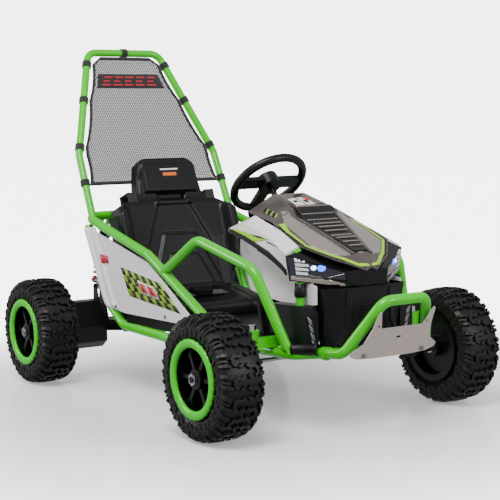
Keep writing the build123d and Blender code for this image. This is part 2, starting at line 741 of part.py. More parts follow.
pedal_x, pedal_y = front_x - 84, -131.0
pedal_pin_r, pedal_half, pedal_ear = 4.0, 28.0, 5.0
pedal_z = floor_z(pedal_x) + sheet + 9
below_floor = [(pan_rear - 20, 100), (pan_rear - 20, floor_rear_z), (rail_start.X, floor_rear_z),
               (rail_nose.X, floor_z(rail_nose.X)), (rail_nose.X, 100)]
above_floor = [(x, z + sheet) for x, z in below_floor[1:4]] + [(rail_nose.X, 300), (pan_rear - 20, 300)]
with BuildPart() as floor_hollow:
    add(prism(mirrored(pan_inner), 150, 260))
    add(prism(above_floor, -300, 300, SIDE), mode=Mode.INTERSECT)
with BuildPart() as floor_pan:
    add(prism(mirrored(pan_plan), 150, pan_wall_z))
    add(prism(below_floor, -300, 300, SIDE), mode=Mode.SUBTRACT)
    add(floor_hollow.part, mode=Mode.SUBTRACT)
    for inside in both:
        ear_y = pedal_y + inside * (pedal_half + gap + pedal_ear / 2)
        with Locations((pedal_x, ear_y, floor_z(pedal_x) + sheet / 2)):
            Box(18, pedal_ear, pedal_z + 8 - floor_z(pedal_x), align=(Align.CENTER, Align.CENTER, Align.MIN))
    ear_line = Vector(0, 40, 0)
    pedal_pivot = Vector(pedal_x, pedal_y, pedal_z)
    add(rod(pedal_pivot - ear_line, pedal_pivot + ear_line, pedal_pin_r + running), mode=Mode.SUBTRACT)
write(floor_pan.part, "floor_pan")

with BuildPart() as pedal:
    pin_line, barrel_line = Vector(0, pedal_half + pedal_ear, 0), Vector(0, pedal_half, 0)
    add(rod(pedal_pivot - pin_line, pedal_pivot + pin_line, pedal_pin_r))
    add(rod(pedal_pivot - barrel_line, pedal_pivot + barrel_line, 8))
    add(prism([(pedal_x - 8, pedal_z), (pedal_x - 30, pedal_z + 82), (pedal_x - 23, pedal_z + 84),
               (pedal_x + 4, pedal_z)], -pedal_y - pedal_half, -pedal_y + pedal_half, SIDE))
write(pedal.part, "accelerator_pedal")

# Foot boxes: open-bottomed covers over the ends of the beam, with a hole for each hood post.
box_in, box_out = 125.0, 164.0
box_profile = [(-50, 300), (-50, beam_high + 3), (18, beam_high + 3), (18, 206), (94, 206), (94, 284),
               (80, 304)]
box_core = [(-47, 297), (-47, beam_high - 10), (21, beam_high - 10), (21, 190), (91, 190), (91, 283),
            (78.5, 301)]
post_x, post_y = front_x + 50, 145.0
post_r = 11.0
post_top = 357.0
with BuildPart() as foot_boxes:
    for s in both:
        low, high = sorted((-s * box_in, -s * box_out))
        add(prism([(front_x + x, z) for x, z in box_profile], low, high, SIDE))
    for s in both:
        low, high = sorted((-s * (box_in + sheet), -s * (box_out - sheet)))
        add(prism([(front_x + x, z) for x, z in box_core], low, high, SIDE), mode=Mode.SUBTRACT)
        post_foot = Vector(post_x, s * post_y, 200)
        add(rod(post_foot, post_foot + Vector(0, 0, 200), post_r + gap), mode=Mode.SUBTRACT)
write(foot_boxes.part, "foot_boxes")

with BuildPart() as hood_posts:
    for s in both:
        add(sleeve(Vector(post_x, s * post_y, rail_nose_z), Vector(post_x, s * post_y, post_top), post_r,
                   post_r - tube_wall))
    add(rod(Vector(post_x, -half_track, rail_nose_z), Vector(post_x, half_track, rail_nose_z), tube_r),
        mode=Mode.SUBTRACT)
write(hood_posts.part, "hood_posts")

# ---------------------------------------------------------------- side panels
panel_t = 4.0


def under_side_tube(x, drop):
    """A point of the panel's upper edge, drop below the side tube's underside."""
    _, corner, bend, foot = side_path[1]
    a, b = (corner, bend) if x < bend.X else (bend, foot)
    slope = atan2(a.Z - b.Z, b.X - a.X)
    return x, a.Z - (x - a.X) * tan(slope) - tube_r / cos(slope) - drop


panel_outline = [
    under_side_tube(rear_x + 112, 12),
    under_side_tube(front_x - 510, 5),
    under_side_tube(front_x - 400, 4),
    under_side_tube(front_x - 292, 4),
    (front_x - 302, pan_wall_z),
    (rear_x + 280, pan_wall_z - 4),
    (rear_x + 200, pan_wall_z + 3),
]
with BuildPart() as side_panels:
    for s in both:
        low, high = sorted((-s * pan_half, -s * (pan_half + panel_t)))
        add(prism(panel_outline, low, high, SIDE))
        add(tube(rail_path[s], tube_od + 2 * gap, wall=0), mode=Mode.SUBTRACT)
write(side_panels.part, "side_panels")

# ---------------------------------------------------------------- hood, lamps and grille
hood_t = 4.0
fair_t = 3.0
hood_rear = -192.0
vent_rear, vent_front = -82.0, 101.0
vent_top, vent_end = 503.0, 421.0


def hood_top(x):
    """The flat top of the hood over the vent, at x ahead of the front axle."""
    return vent_top + (vent_end - vent_top) * (x - vent_rear) / (vent_front - vent_rear)


def roof(w1, z1, w2, z2):
    return [(-w2, z2), (-w1, z1), (w1, z1), (w2, z2)]


hood_stations = [
    (hood_rear, roof(48, 553, 128, 512)),
    (-90, roof(62, 521, 125, 490)),
    (vent_rear, roof(66, vent_top, 126, 486)),
    (35, roof(42, hood_top(35), 137, 441)),
    (vent_front, roof(26, vent_end, 80, 409)),
    (139, roof(8, 392, 20, 386)),
]
vent_plan = [(-70, 56), (90, 21), (90, -21), (-70, -56)]
with BuildPart() as hood:
    add(shell([(front_x + x, outline) for x, outline in hood_stations], hood_t))
    add(prism([(front_x + x, y) for x, y in vent_plan], 300, 700), mode=Mode.SUBTRACT)
write(hood.part, "hood")

vent_slope = atan2(vent_top - vent_end, vent_front - vent_rear)
vent_plane = Plane(
    origin=front(vent_rear, 0, vent_top - hood_t),
    x_dir=(cos(vent_slope), 0, -sin(vent_slope)),
    z_dir=(sin(vent_slope), 0, cos(vent_slope)),
)
slat_count = 9
with BuildPart() as vent_louvre:
    with BuildSketch(vent_plane.offset(-2.5 - touch)):
        with BuildLine():
            Polyline((4, 58), (190, 22), (190, -22), (4, -58), close=True)
        make_face()
    extrude(amount=2.5)
    for i in range(slat_count):
        along = 24 + i * 17.5
        reach = 55 - 35 * (along - 12) / 176 - 2
        with BuildSketch(vent_plane.offset(-touch - 1)):
            with Locations((along, 0)):
                Rectangle(5, 2 * reach)
        extrude(amount=4)
write(vent_louvre.part, "vent_louvre")

dash_x = front_x + hood_rear - gap
dash_face = Plane(origin=(dash_x, 0, 0), x_dir=(0, 1, 0), z_dir=(1, 0, 0))
button_y, button_z = 58.0, 512.0
button_r = 8.0
with BuildPart() as dash_panel:
    with BuildSketch(dash_face.offset(-sheet)):
        with BuildLine():
            Polyline((-127, 512), (-47, 552), (47, 552), (127, 512), (104, 436), (-104, 436), close=True)
        make_face()
        with Locations((button_y, button_z)):
            Circle(button_r + gap, mode=Mode.SUBTRACT)
        with Locations((-button_y, button_z)):
            Rectangle(12 + 2 * gap, 24 + 2 * gap, mode=Mode.SUBTRACT)
    extrude(amount=sheet)
    add(rod(wheel_centre, wheel_centre + steer_dir * 260, column_r + 0.6), mode=Mode.SUBTRACT)
write(dash_panel.part, "dash_panel")

with BuildPart() as start_button:
    button = Vector(dash_x - sheet - 4, button_y, button_z)
    add(rod(button, button + Vector(22, 0, 0), button_r))
write(start_button.part, "start_button")

rocker_x = dash_x - sheet / 2
with BuildPart() as direction_switch:
    add(prism([(rocker_x - 5, button_z - 10), (rocker_x - 3, button_z), (rocker_x - 5, button_z + 10),
               (rocker_x + 8, button_z + 4), (rocker_x + 8, button_z - 4)],
              button_y - 5, button_y + 5, SIDE))
    rocker = Vector(rocker_x, -button_y, button_z)
    add(rod(rocker - Vector(0, 6, 0), rocker + Vector(0, 6, 0), 2))
write(direction_switch.part, "direction_switch")

fairing_stations = {
    -236: [(146, 474), (156, 470), (158, 463)],
    -160: [(127.4, 504.6), (156, 486), (160, 444)],
    -50: [(129.4, 473.3), (162, 458), (167, 414)],
    33: [(137.2, 441.4), (176, 425), (168, 374)],
}
nose_panel = [(-128, 306), (-128, 445), (30, 395), (34, 358), (92, 350), (92, 306), (80, 304 + touch),
              (-50, 300 + touch)]
nose_in, nose_out = 126.5, 129.5
with BuildPart() as fairings:
    for s in both:
        low, high = sorted((-s * nose_in, -s * nose_out))
        add(prism([(front_x + x, z) for x, z in nose_panel], low, high, SIDE))
        rows = [(front_x + x, [(s * y, z) for y, z in outline]) for x, outline in fairing_stations.items()]
        add(shell(rows, fair_t))
write(fairings.part, "fairings")


def wedge(x0, rear_face, x1, front_face):
    """A straight-sided block from a section at x0 to a section at x1, both across the kart."""
    with BuildPart() as block:
        for x, face in ((x0, rear_face), (x1, front_face)):
            with BuildSketch(Plane(origin=(front_x + x, 0, 0), x_dir=(0, 1, 0), z_dir=(1, 0, 0))):
                with BuildLine():
                    Polyline(*face, close=True)
                make_face()
        loft(ruled=True)
    return block.part


def flip(points, s):
    return [(s * y, z) for y, z in points]


with BuildPart() as lamp_lenses:
    for s in both:
        add(wedge(42, flip([(169, 418), (176, 418), (169, 376), (162, 376)], s),
                  120, flip([(58, 380), (65, 380), (63, 362), (56, 362)], s)))
write(lamp_lenses.part, "lamp_lenses")
with BuildPart() as lamp_shells:
    for s in both:
        add(wedge(38, flip([(118, 432), (178, 421), (168, 361), (118, 361)], s),
                  124, flip([(8, 386), (62, 383), (58, 347), (8, 347)], s)))
        add(wedge(34, flip([(110, 427), (172, 417), (163, 366), (110, 366)], s),
                  118, flip([(0, 382), (56, 379), (53, 352), (0, 352)], s)), mode=Mode.SUBTRACT)
        add(wedge(40, flip([(171.9, 421), (190, 421), (190, 372), (163.6, 372)], s),
                  121.5, flip([(55.8, 383), (80, 383), (80, 359), (53.2, 359)], s)), mode=Mode.SUBTRACT)
write(lamp_shells.part, "lamp_shells")

fascia_top, fascia_low = 344.0, 205.4
with BuildPart() as fascia:
    for grow, mode in ((0, Mode.ADD), (3.5, Mode.SUBTRACT)):
        back = 40 if grow else 0
        outlines = (
            (fascia_low, [(74 - back, 108 - grow), (88, 108 - grow), (130 - grow, 86 - grow)]),
            (fascia_top, [(62 - back, 122 - grow), (115, 120 - grow), (134 - grow, 50 - grow)]),
        )
        with BuildPart(mode=Mode.PRIVATE) as block:
            for z, half in outlines:
                with BuildSketch(Plane.XY.offset(z)):
                    with BuildLine():
                        Polyline(*[(front_x + x, y) for x, y in mirrored(half)], close=True)
                    make_face()
            loft(ruled=True)
        add(block.part, mode=mode)
write(fascia.part, "fascia")

# ---------------------------------------------------------------- seat and belts
seat_lean = 19.0
back_t = 46.0
back_foot = 4.0  # lower edge of the backrest above its reference point
seat_x, seat_z = 231.0, 256.0
base_half = 168.0
back_plane = Plane(
    origin=rear(seat_x, 0, seat_z),
    x_dir=(0, 1, 0),
    z_dir=(cos(radians(seat_lean)), 0, sin(radians(seat_lean))),
)
back_outline = [(150, back_foot), (176, 70), (198, 150), (198, 232), (184, 262), (156, 284), (112, 296),
                (106, 330), (88, 392), (76, 402)]
with BuildPart() as seat_back:
    full = [(y, z) for y, z in back_outline] + [(-y, z) for y, z in reversed(back_outline)]
    with BuildSketch(back_plane.offset(-back_t)) as back_shape:
        with BuildLine():
            Polyline(*full, close=True)
        make_face()
    extrude(amount=back_t)
    with BuildSketch(back_plane):
        for s in both:
            with BuildLine():
                Polyline((s * 150, 30), (s * 157, 30), (s * 176, 90), (s * 196, 160), (s * 196, 228),
                         (s * 180, 256), (s * 158, 262), (s * 150, 240), close=True)
            make_face()
    extrude(amount=36)
    with BuildSketch(back_plane.offset(-back_t)):
        with BuildLine():
            Polyline(*full, close=True)
        make_face()
        offset(amount=-4, kind=Kind.INTERSECTION, mode=Mode.REPLACE)
    extrude(amount=back_t - 4, mode=Mode.SUBTRACT)
write(seat_back.part, "seat_back")

base_foot_z = floor_rear_z + sheet + touch
base_rear = 166.0


def under_back(x):
    """The slope just under the backrest's foot, at x ahead of the rear axle."""
    lean = radians(seat_lean)
    return seat_z + back_foot / cos(lean) - (seat_x - x) * tan(lean) - gap


base_profile = [(base_rear, base_foot_z), (base_rear, under_back(base_rear)), (seat_x, under_back(seat_x)),
                (seat_x + 4, 262), (358, 242), (374, 236), (380, 224), (376, base_foot_z)]
base_core = [(base_rear + 4, base_foot_z - 9), (base_rear + 4, under_back(base_rear) - 4),
             (seat_x, under_back(seat_x) - 5), (seat_x + 6, 257.5), (357, 238), (371, 232), (376, 223),
             (372, base_foot_z - 9)]
with BuildPart() as seat_base:
    add(prism([(rear_x + x, z) for x, z in base_profile], -base_half, base_half, SIDE))
    core = [(rear_x + x, z) for x, z in base_core]
    add(prism(core, -base_half + 4, base_half - 4, SIDE), mode=Mode.SUBTRACT)
write(seat_base.part, "seat_base")

with BuildPart() as battery:
    with Locations((rear_x + 232, 0, base_foot_z)):
        Box(76, 150, 38, align=(Align.CENTER, Align.CENTER, Align.MIN))
    fillet(battery.edges().filter_by(Axis.Z), 4)
write(battery.part, "battery")
with BuildPart() as controller:
    with Locations((rear_x + 320, 0, base_foot_z)):
        Box(70, 60, 24, align=(Align.CENTER, Align.CENTER, Align.MIN))
    fillet(controller.edges().filter_by(Axis.Z), 3)
write(controller.part, "motor_controller")

belt_t, belt_w = 2.0, 30.0
belt_y = 131.0
belt_top = 300.0
with BuildPart() as harness:
    for s in both:
        for inner, outer, low, high in (
            (gap, gap + belt_t, 12, belt_top),
            (-back_t - belt_t - gap, gap + belt_t, belt_top, belt_top + belt_t),
            (-back_t - belt_t - gap, -back_t - gap, 200, belt_top),
        ):
            with BuildSketch(back_plane.offset(inner)):
                with Locations((s * belt_y, (low + high) / 2)):
                    Rectangle(belt_w, high - low)
            extrude(amount=outer - inner)
    lap_slope = degrees(atan2(20, 358 - seat_x - 4))
    lap_z = 262 - 20 * (290 - seat_x - 4) / (358 - seat_x - 4)
    lap_plane = Plane(origin=rear(290, 0, lap_z), x_dir=(0, 1, 0),
                      z_dir=(sin(radians(lap_slope)), 0, cos(radians(lap_slope))))
    with BuildSketch(lap_plane.offset(gap)):
        Rectangle(2 * base_half - 10, 38)
    extrude(amount=belt_t)
write(harness.part, "harness")
with BuildPart() as belt_buckle:
    with BuildSketch(lap_plane.offset(gap + belt_t + touch)):
        RectangleRounded(56, 46, 6)
    extrude(amount=13)
write(belt_buckle.part, "belt_buckle")

# ---------------------------------------------------------------- mesh screen on the roof hoop
strap_half = 9.0
strap_t = 3.0
net_t = 2.4
edge = hoop_r + strap_t + gap


def hoop_half(rise):
    """Half the hoop's width at a distance up its plane."""
    if rise < waist_rise:
        return half_upper + (half_waist - half_upper) * rise / waist_rise
    return half_waist + (half_top - half_waist) * (rise - waist_rise) / (hoop_rise - waist_rise)


net_foot = 107.0
net_head = hoop_rise - edge
lean_in = atan2(half_waist - half_top, hoop_rise - waist_rise)
net_outline = [
    (hoop_half(net_foot) - edge, net_foot),
    (half_waist - edge - 1, waist_rise),
    (hoop_half(net_head - 26) - edge / cos(lean_in), net_head - 26),
    (hoop_half(net_head) - edge - 28, net_head),
]
with BuildPart() as net_panel:
    with BuildSketch(hoop_plane.offset(-net_t / 2)):
        with BuildLine():
            Polyline(*net_outline, *[(-y, s) for y, s in reversed(net_outline)], close=True)
        make_face()
    extrude(amount=net_t)
write(net_panel.part, "net_panel")

strap_rises = [net_foot + strap_half, waist_rise + 24, waist_rise + 176, hoop_rise - 42]
with BuildPart() as net_straps:
    spots = [(Vector(0, hoop_rise, 0), Vector(1, 0, 0))]
    for s in both:
        for rise in strap_rises:
            step = Vector(s * (hoop_half(rise + 1) - hoop_half(rise)), 1, 0).normalized()
            spots.append((Vector(s * hoop_half(rise), rise, 0), step))
    for spot, along in spots:
        ends = [hoop_plane.from_local_coords(spot + along * k * strap_half) for k in both]
        add(sleeve(ends[0], ends[1], hoop_r + strap_t, hoop_r + gap / 2))
write(net_straps.part, "net_straps")

# ---------------------------------------------------------------- fasteners
with BuildPart() as fasteners:
    for s in both:
        hole = front(on_plate(stay_z), s * stay_y, stay_z)
        add(hex_bolt(hole + plate_out * (plate_t * cos(plate_tilt) + touch), plate_out, 10, 5))
        add(rod(hole - Vector(2.9, 0, 0), hole + Vector(5, 0, 0), 2.8))
        for x, z in ((rear_x + 230, 232), (front_x - 420, 232), (front_x - 320, 232)):
            out = pan_half + panel_t + touch
            add(hex_bolt(Vector(x, s * out, z), Vector(0, s, 0), 8, 3))
write(fasteners.part, "fasteners")
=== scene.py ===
# %% [markdown]
# # A ride-on go kart, built around its CAD frame
# The tubes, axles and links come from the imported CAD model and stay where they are. What this file
# adds is everything the eye reads as a real kart: cast rubber tyres, a moulded seat, the mesh screen,
# painted and moulded finishes, lamps and trim. Every size is in metres, with +X forward, +Y to the
# rider's left and +Z up.

# %% Load the frame
import json
import math

import bmesh
import bpy
from mathutils import Matrix, Vector
from mathutils.bvhtree import BVHTree


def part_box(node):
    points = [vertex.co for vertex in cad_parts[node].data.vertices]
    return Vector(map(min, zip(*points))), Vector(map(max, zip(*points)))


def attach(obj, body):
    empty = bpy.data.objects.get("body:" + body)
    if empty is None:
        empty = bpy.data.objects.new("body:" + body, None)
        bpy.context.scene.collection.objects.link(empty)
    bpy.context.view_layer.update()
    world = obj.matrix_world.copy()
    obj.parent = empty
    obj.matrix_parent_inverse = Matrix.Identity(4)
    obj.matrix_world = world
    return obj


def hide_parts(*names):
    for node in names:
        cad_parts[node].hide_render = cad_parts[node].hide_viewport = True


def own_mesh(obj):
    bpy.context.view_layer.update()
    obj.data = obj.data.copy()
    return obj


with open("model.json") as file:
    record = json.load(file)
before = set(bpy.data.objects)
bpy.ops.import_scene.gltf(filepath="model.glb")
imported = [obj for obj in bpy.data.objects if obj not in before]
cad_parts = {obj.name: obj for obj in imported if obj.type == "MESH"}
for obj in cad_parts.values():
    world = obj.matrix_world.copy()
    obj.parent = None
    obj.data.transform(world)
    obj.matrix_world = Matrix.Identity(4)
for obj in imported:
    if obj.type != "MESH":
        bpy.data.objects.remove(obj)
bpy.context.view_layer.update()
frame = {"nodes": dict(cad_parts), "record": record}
nodes = frame["nodes"]

# %% [markdown]
# Most measures on a kart are taken from the front axle, so one helper turns millimetres ahead of that
# axle, to the left of the middle and above the ground into a point of the frame.

# %% Places measured from the front axle
MM = 0.001
rim_low, rim_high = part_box("rim_front_right")
FRONT_AXLE_X = (rim_low.x + rim_high.x) / 2
rear_low, rear_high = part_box("rim_rear_right")
REAR_AXLE_X = (rear_low.x + rear_high.x) / 2
AXLE_Z = (rim_low.z + rim_high.z) / 2


def at(x, y, z):
    """Millimetres ahead of the front axle, to the left, and above the ground, as a point in metres."""
    return Vector((FRONT_AXLE_X + x * MM, y * MM, z * MM))


print("axles at", round(FRONT_AXLE_X, 4), round(REAR_AXLE_X, 4), "height", round(AXLE_Z, 4))

# %% [markdown]
# A kart looks right from well away with a long lens: the wheels stay nearly round, and the near tyre
# is only a little larger than the far one. The camera's own axes are written out, because it is rolled
# by just under one degree.

# %% Camera
camera_data = bpy.data.cameras.new("studio_camera")
camera_data.lens, camera_data.sensor_width = 94.66, 36.0
camera_data.clip_start, camera_data.clip_end = 0.1, 60.0
camera = bpy.data.objects.new("studio_camera", camera_data)
bpy.context.scene.collection.objects.link(camera)
camera_right = Vector((0.56014639, 0.82823521, -0.01620065))
camera_up = Vector((-0.06783191, 0.06534911, 0.99555428))
camera_back = Vector((0.82561181, -0.55655721, 0.09278585))
turned = Matrix((camera_right, camera_up, camera_back)).transposed().to_4x4()
camera.matrix_world = Matrix.Translation((2.9354, -1.9625, 0.7225)) @ turned
bpy.context.scene.camera = camera
print("camera looks along", [round(-v, 3) for v in camera_back])

# %% [markdown]
# Materials are made of nodes. One helper adds a node, sets its properties and fills its inputs, and an
# input that is given another node's output gets linked to it. Colours are written as they look on a
# screen and turned into the linear values that light needs.

# %% Node and colour helpers


def linear(text):
    """An sRGB hex colour as linear red, green, blue and full alpha."""
    parts = [int(text[i:i + 2], 16) / 255 for i in (1, 3, 5)]
    return [c / 12.92 if c <= 0.04045 else ((c + 0.055) / 1.055) ** 2.4 for c in parts] + [1.0]


def node(tree, kind, inputs=None, **settings):
    """Adds a node with its settings, then fills or links its inputs, named or numbered."""
    made = tree.nodes.new("ShaderNode" + kind)
    for key, value in settings.items():
        setattr(made, key, value)
    for key, value in (inputs or {}).items():
        if isinstance(value, bpy.types.NodeSocket):
            tree.links.new(value, made.inputs[key])
        else:
            made.inputs[key].default_value = value
    return made


def new_material(name):
    """An empty node material, its tree, and its output node."""
    material = bpy.data.materials.new(name)
    material.use_nodes = True
    tree = material.node_tree
    tree.nodes.clear()
    return material, tree, node(tree, "OutputMaterial")


print("lime in linear light", [round(c, 3) for c in linear("#63CC12")])

# %% [markdown]
# Paint, plastic and rubber share one recipe with different sizes in it: a broad cloudy change of
# colour, as dust and uneven pigment give; a fine grain that lifts the surface; and a roughness that
# wanders with the same grain, so highlights break up. A maker sets the patch and grain in millimetres.

# %% The shared recipe


def finish(name, main, other, patch, grain, lift, rough, spread=0.08, **shader):
    """A surface whose colour clouds over `patch` mm and whose skin is lifted `lift` mm every `grain` mm."""
    material, tree, out = new_material(name)
    place = node(tree, "TexCoord").outputs["Object"]
    cloud = node(tree, "TexNoise", {"Vector": place, "Scale": 1 / (patch * MM), "Detail": 4.0})
    skin = node(tree, "TexNoise", {"Vector": place, "Scale": 1 / (grain * MM), "Detail": 6.0})
    colour = node(tree, "Mix", {0: cloud.outputs[0], 6: linear(main), 7: linear(other)}, data_type="RGBA")
    gloss = node(tree, "MapRange", {0: skin.outputs[0], 1: 0.3, 2: 0.7, 3: rough - spread, 4: rough + spread})
    bump = node(tree, "Bump", {"Height": skin.outputs[0], "Distance": lift * MM, "Strength": 1.0})
    body = node(tree, "BsdfPrincipled", {"Base Color": colour.outputs[2], "Roughness": gloss.outputs[0],
                                         "Normal": bump.outputs[0], **shader})
    tree.links.new(body.outputs[0], out.inputs[0])
    return material


# %% [markdown]
# The kart's finishes. Powder coat is a plastic powder baked onto steel: it is very glossy but never
# quite flat, with a faint orange peel about 2 mm across. Moulded ABS is smoother. Polypropylene, used
# for the seat and floor, has a spark-eroded grain that makes it satin. Chrome and zinc plating are
# thin, so the machining under them still shows as a soft grain.

# %% Paints, plastics and metals
lime_coat = finish("lime_powder_coat", "#34BE00", "#41C906", 60, 2.2, 0.02, 0.24, 0.05,
                   **{"Coat Weight": 0.35, "Coat Roughness": 0.1, "Specular IOR Level": 0.35})
black_coat = finish("black_powder_coat", "#0C0C0E", "#131315", 50, 1.6, 0.02, 0.34,
                    **{"Specular IOR Level": 0.3})
ring_abs = finish("lime_abs_ring", "#2CC400", "#3BD008", 30, 3.0, 0.03, 0.26, 0.06,
                  **{"Coat Weight": 0.25, "Specular IOR Level": 0.35})
rim_abs = finish("black_abs_rim", "#060607", "#101012", 40, 2.0, 0.02, 0.28, **{"Specular IOR Level": 0.3})
white_abs = finish("white_abs_panel", "#DED8DA", "#E8E3E4", 90, 4.0, 0.01, 0.26, 0.05, **{"Coat Weight": 0.3})
grey_abs = finish("dark_grey_metallic_abs", "#4E4844", "#615A55", 45, 0.6, 0.006, 0.3, 0.08,
                  **{"Metallic": 0.45, "Coat Weight": 0.7, "Coat Roughness": 0.1})
pale_grey_abs = finish("pale_grey_metallic_abs", "#8B837D", "#9A928C", 45, 0.6, 0.006, 0.28, 0.08,
                       **{"Metallic": 0.4, "Coat Weight": 0.6, "Coat Roughness": 0.1})
gloss_black = finish("gloss_black_abs", "#050506", "#0A0A0C", 60, 4.0, 0.01, 0.16, 0.05,
                     **{"Specular IOR Level": 0.35})
cover_pp = finish("black_polypropylene", "#0A0A0B", "#111113", 35, 0.9, 0.03, 0.42,
                  **{"Specular IOR Level": 0.25})
seat_pp = finish("black_grained_polypropylene", "#09090A", "#0F0F11", 40, 1.1, 0.04, 0.38,
                 **{"Specular IOR Level": 0.3})
rubber = finish("tyre_rubber", "#0E0D0D", "#181615", 22, 1.2, 0.1, 0.46, 0.14, **{"Specular IOR Level": 0.3})
chrome = finish("chrome_plate", "#D8D8DC", "#C6C6CC", 20, 1.0, 0.004, 0.12, 0.05, Metallic=1.0)
zinc = finish("zinc_plate", "#8E8F94", "#A5A6AA", 12, 0.8, 0.01, 0.32, 0.1, Metallic=1.0)
plate_coat = finish("silver_beige_coat", "#BDB0A8", "#CDC1B9", 40, 1.0, 0.01, 0.36, 0.08, Metallic=0.35)
spring_coat = finish("red_spring_coat", "#A3120C", "#BB2014", 20, 1.5, 0.01, 0.25)
lime_ink = finish("lime_yellow_vinyl", "#8FCB10", "#9DD61C", 30, 3.0, 0.004, 0.32)
olive_ink = finish("olive_vinyl", "#7FA51C", "#8CB227", 30, 3.0, 0.004, 0.34)
black_ink = finish("black_vinyl", "#060607", "#0C0C0E", 30, 3.0, 0.004, 0.34)
red_ink = finish("red_vinyl", "#B3182A", "#C4203A", 30, 3.0, 0.004, 0.32)
orange_ink = finish("orange_print", "#D9641C", "#E27428", 30, 3.0, 0.004, 0.34)
slash_grey = finish("grey_vinyl", "#6A6B6E", "#77787B", 30, 3.0, 0.004, 0.36)
white_ink = finish("white_vinyl", "#DDDDDF", "#E6E6E8", 30, 3.0, 0.004, 0.34)
red_abs = finish("red_abs_button", "#A8140F", "#BC1E17", 20, 2.0, 0.01, 0.28)
battery_abs = finish("grey_abs_case", "#3A3C41", "#44464B", 30, 1.2, 0.02, 0.5)
print(len(bpy.data.materials), "materials so far")

# %% [markdown]
# Woven webbing is different: its colour and height follow the threads. Two crossed wave patterns at
# the thread spacing stand for warp and weft. Real belt threads are about 1 mm apart, which would blur
# at this distance, so the weave is drawn at 2 mm.

# %% Woven webbing
webbing, web_tree, web_out = new_material("polyester_webbing")
web_place = node(web_tree, "TexCoord").outputs["Object"]
THREAD = 2.0
warp = node(web_tree, "TexWave", {"Vector": web_place, "Scale": 0.3 / (THREAD * MM)}, bands_direction="Y")
weft = node(web_tree, "TexWave", {"Vector": web_place, "Scale": 0.3 / (THREAD * MM)}, bands_direction="Z")
weave = node(web_tree, "Math", {0: warp.outputs[1], 1: weft.outputs[1]}, operation="MAXIMUM")
web_colour = node(web_tree, "Mix", {0: weave.outputs[0], 6: linear("#060607"), 7: linear("#161618")},
                  data_type="RGBA")
web_bump = node(web_tree, "Bump", {"Height": weave.outputs[0], "Distance": 0.3 * MM, "Strength": 1.0})
web_body = node(web_tree, "BsdfPrincipled", {"Base Color": web_colour.outputs[2], "Roughness": 0.75,
                                             "Normal": web_bump.outputs[0], "Sheen Weight": 0.25})
web_tree.links.new(web_body.outputs[0], web_out.inputs[0])
print("webbing thread", THREAD, "mm")

# %% [markdown]
# The screen on the hoop is warp-knitted polyester net. Its grey threads run up in zigzags that touch
# their neighbours, so the holes are small lozenges in upright rows. The cloth itself stays one thin
# sheet, and the holes are opened by the material's alpha. A hole is only partly open, and its closed
# part is pale grey: painted light that stands in for the bright backdrop seen through the holes. Real
# cells are about 4 mm wide, and 7.6 mm is what still shows from where the camera stands.

# %% Knitted net
NET_CELL, NET_RISE, NET_THREAD, NET_HOLE_FILL = 7.6, 9.5, 0.56, 0.6
net_finish, net_tree, net_out = new_material("knitted_polyester_net")
net_place = node(net_tree, "SeparateXYZ", {0: node(net_tree, "TexCoord").outputs["Object"]})


def triangle_wave(tree, value, period, height):
    """A zigzag line of the given period and height."""
    turn = node(tree, "Math", {0: value, 1: period}, operation="PINGPONG")
    return node(tree, "Math", {0: turn.outputs[0], 1: height / period}, operation="MULTIPLY").outputs[0]


zigzag = triangle_wave(net_tree, net_place.outputs["Z"], NET_RISE / 2 * MM, NET_CELL / 2 * MM)
distances = []
for sign in (-1, 1):
    across = node(net_tree, "Math", {0: zigzag, 1: sign, 2: net_place.outputs["Y"]}, operation="MULTIPLY_ADD")
    fold = node(net_tree, "Math", {0: across.outputs[0], 1: NET_CELL / 2 * MM}, operation="PINGPONG")
    distances.append(node(net_tree, "Math", {0: fold.outputs[0], 1: 1 / (NET_CELL / 2 * MM)},
                          operation="MULTIPLY"))
nearest = node(net_tree, "Math", {0: distances[0].outputs[0], 1: distances[1].outputs[0]},
               operation="MINIMUM")
thread_on = node(net_tree, "Math", {0: nearest.outputs[0], 1: NET_THREAD}, operation="LESS_THAN")
# The part of each hole that stays closed is pale grey: painted light for the backdrop seen through it.
net_alpha = node(net_tree, "Math", {0: thread_on.outputs[0], 1: NET_HOLE_FILL}, operation="MAXIMUM")
net_colour = node(net_tree, "Mix", {0: thread_on.outputs[0], 6: linear("#A9A8AD"), 7: linear("#1E1D21")},
                  data_type="RGBA")
net_body = node(net_tree, "BsdfPrincipled", {"Base Color": net_colour.outputs[2], "Roughness": 0.7,
                                             "Alpha": net_alpha.outputs[0]})
net_tree.links.new(net_body.outputs[0], net_out.inputs[0])
print("net cell", NET_CELL, "by", NET_RISE, "mm")

# %% [markdown]
# Each new piece starts as a bmesh and ends as an object at the origin, with its place in its mesh. The
# helpers below keep that promise: one makes the object and says which body it moves with, one gives a
# flat grid a new shape row by row, and one bends a small block along a path.

# %% Piece helpers


def piece(name, bm, material, body, bevel=0.0, wall=0.0, smooth=True, segments=2, rounds=0):
    """Turns a bmesh into a finished object that rides on a body; sizes in millimetres."""
    mesh = bpy.data.meshes.new(name)
    bm.to_mesh(mesh)
    bm.free()
    made = bpy.data.objects.new(name, mesh)
    bpy.context.scene.collection.objects.link(made)
    mesh.materials.append(material)
    mesh.polygons.foreach_set("use_smooth", [smooth] * len(mesh.polygons))
    if wall:
        solid = made.modifiers.new("wall", "SOLIDIFY")
        solid.thickness, solid.offset = wall * MM, -1.0
    if bevel:
        edge = made.modifiers.new("edge", "BEVEL")
        edge.width, edge.segments, edge.limit_method, edge.angle_limit = bevel * MM, segments, "ANGLE", 0.5
        edge.harden_normals = smooth
    if rounds:
        soft = made.modifiers.new("round", "SUBSURF")
        soft.levels = soft.render_levels = rounds
    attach(made, body)
    return made


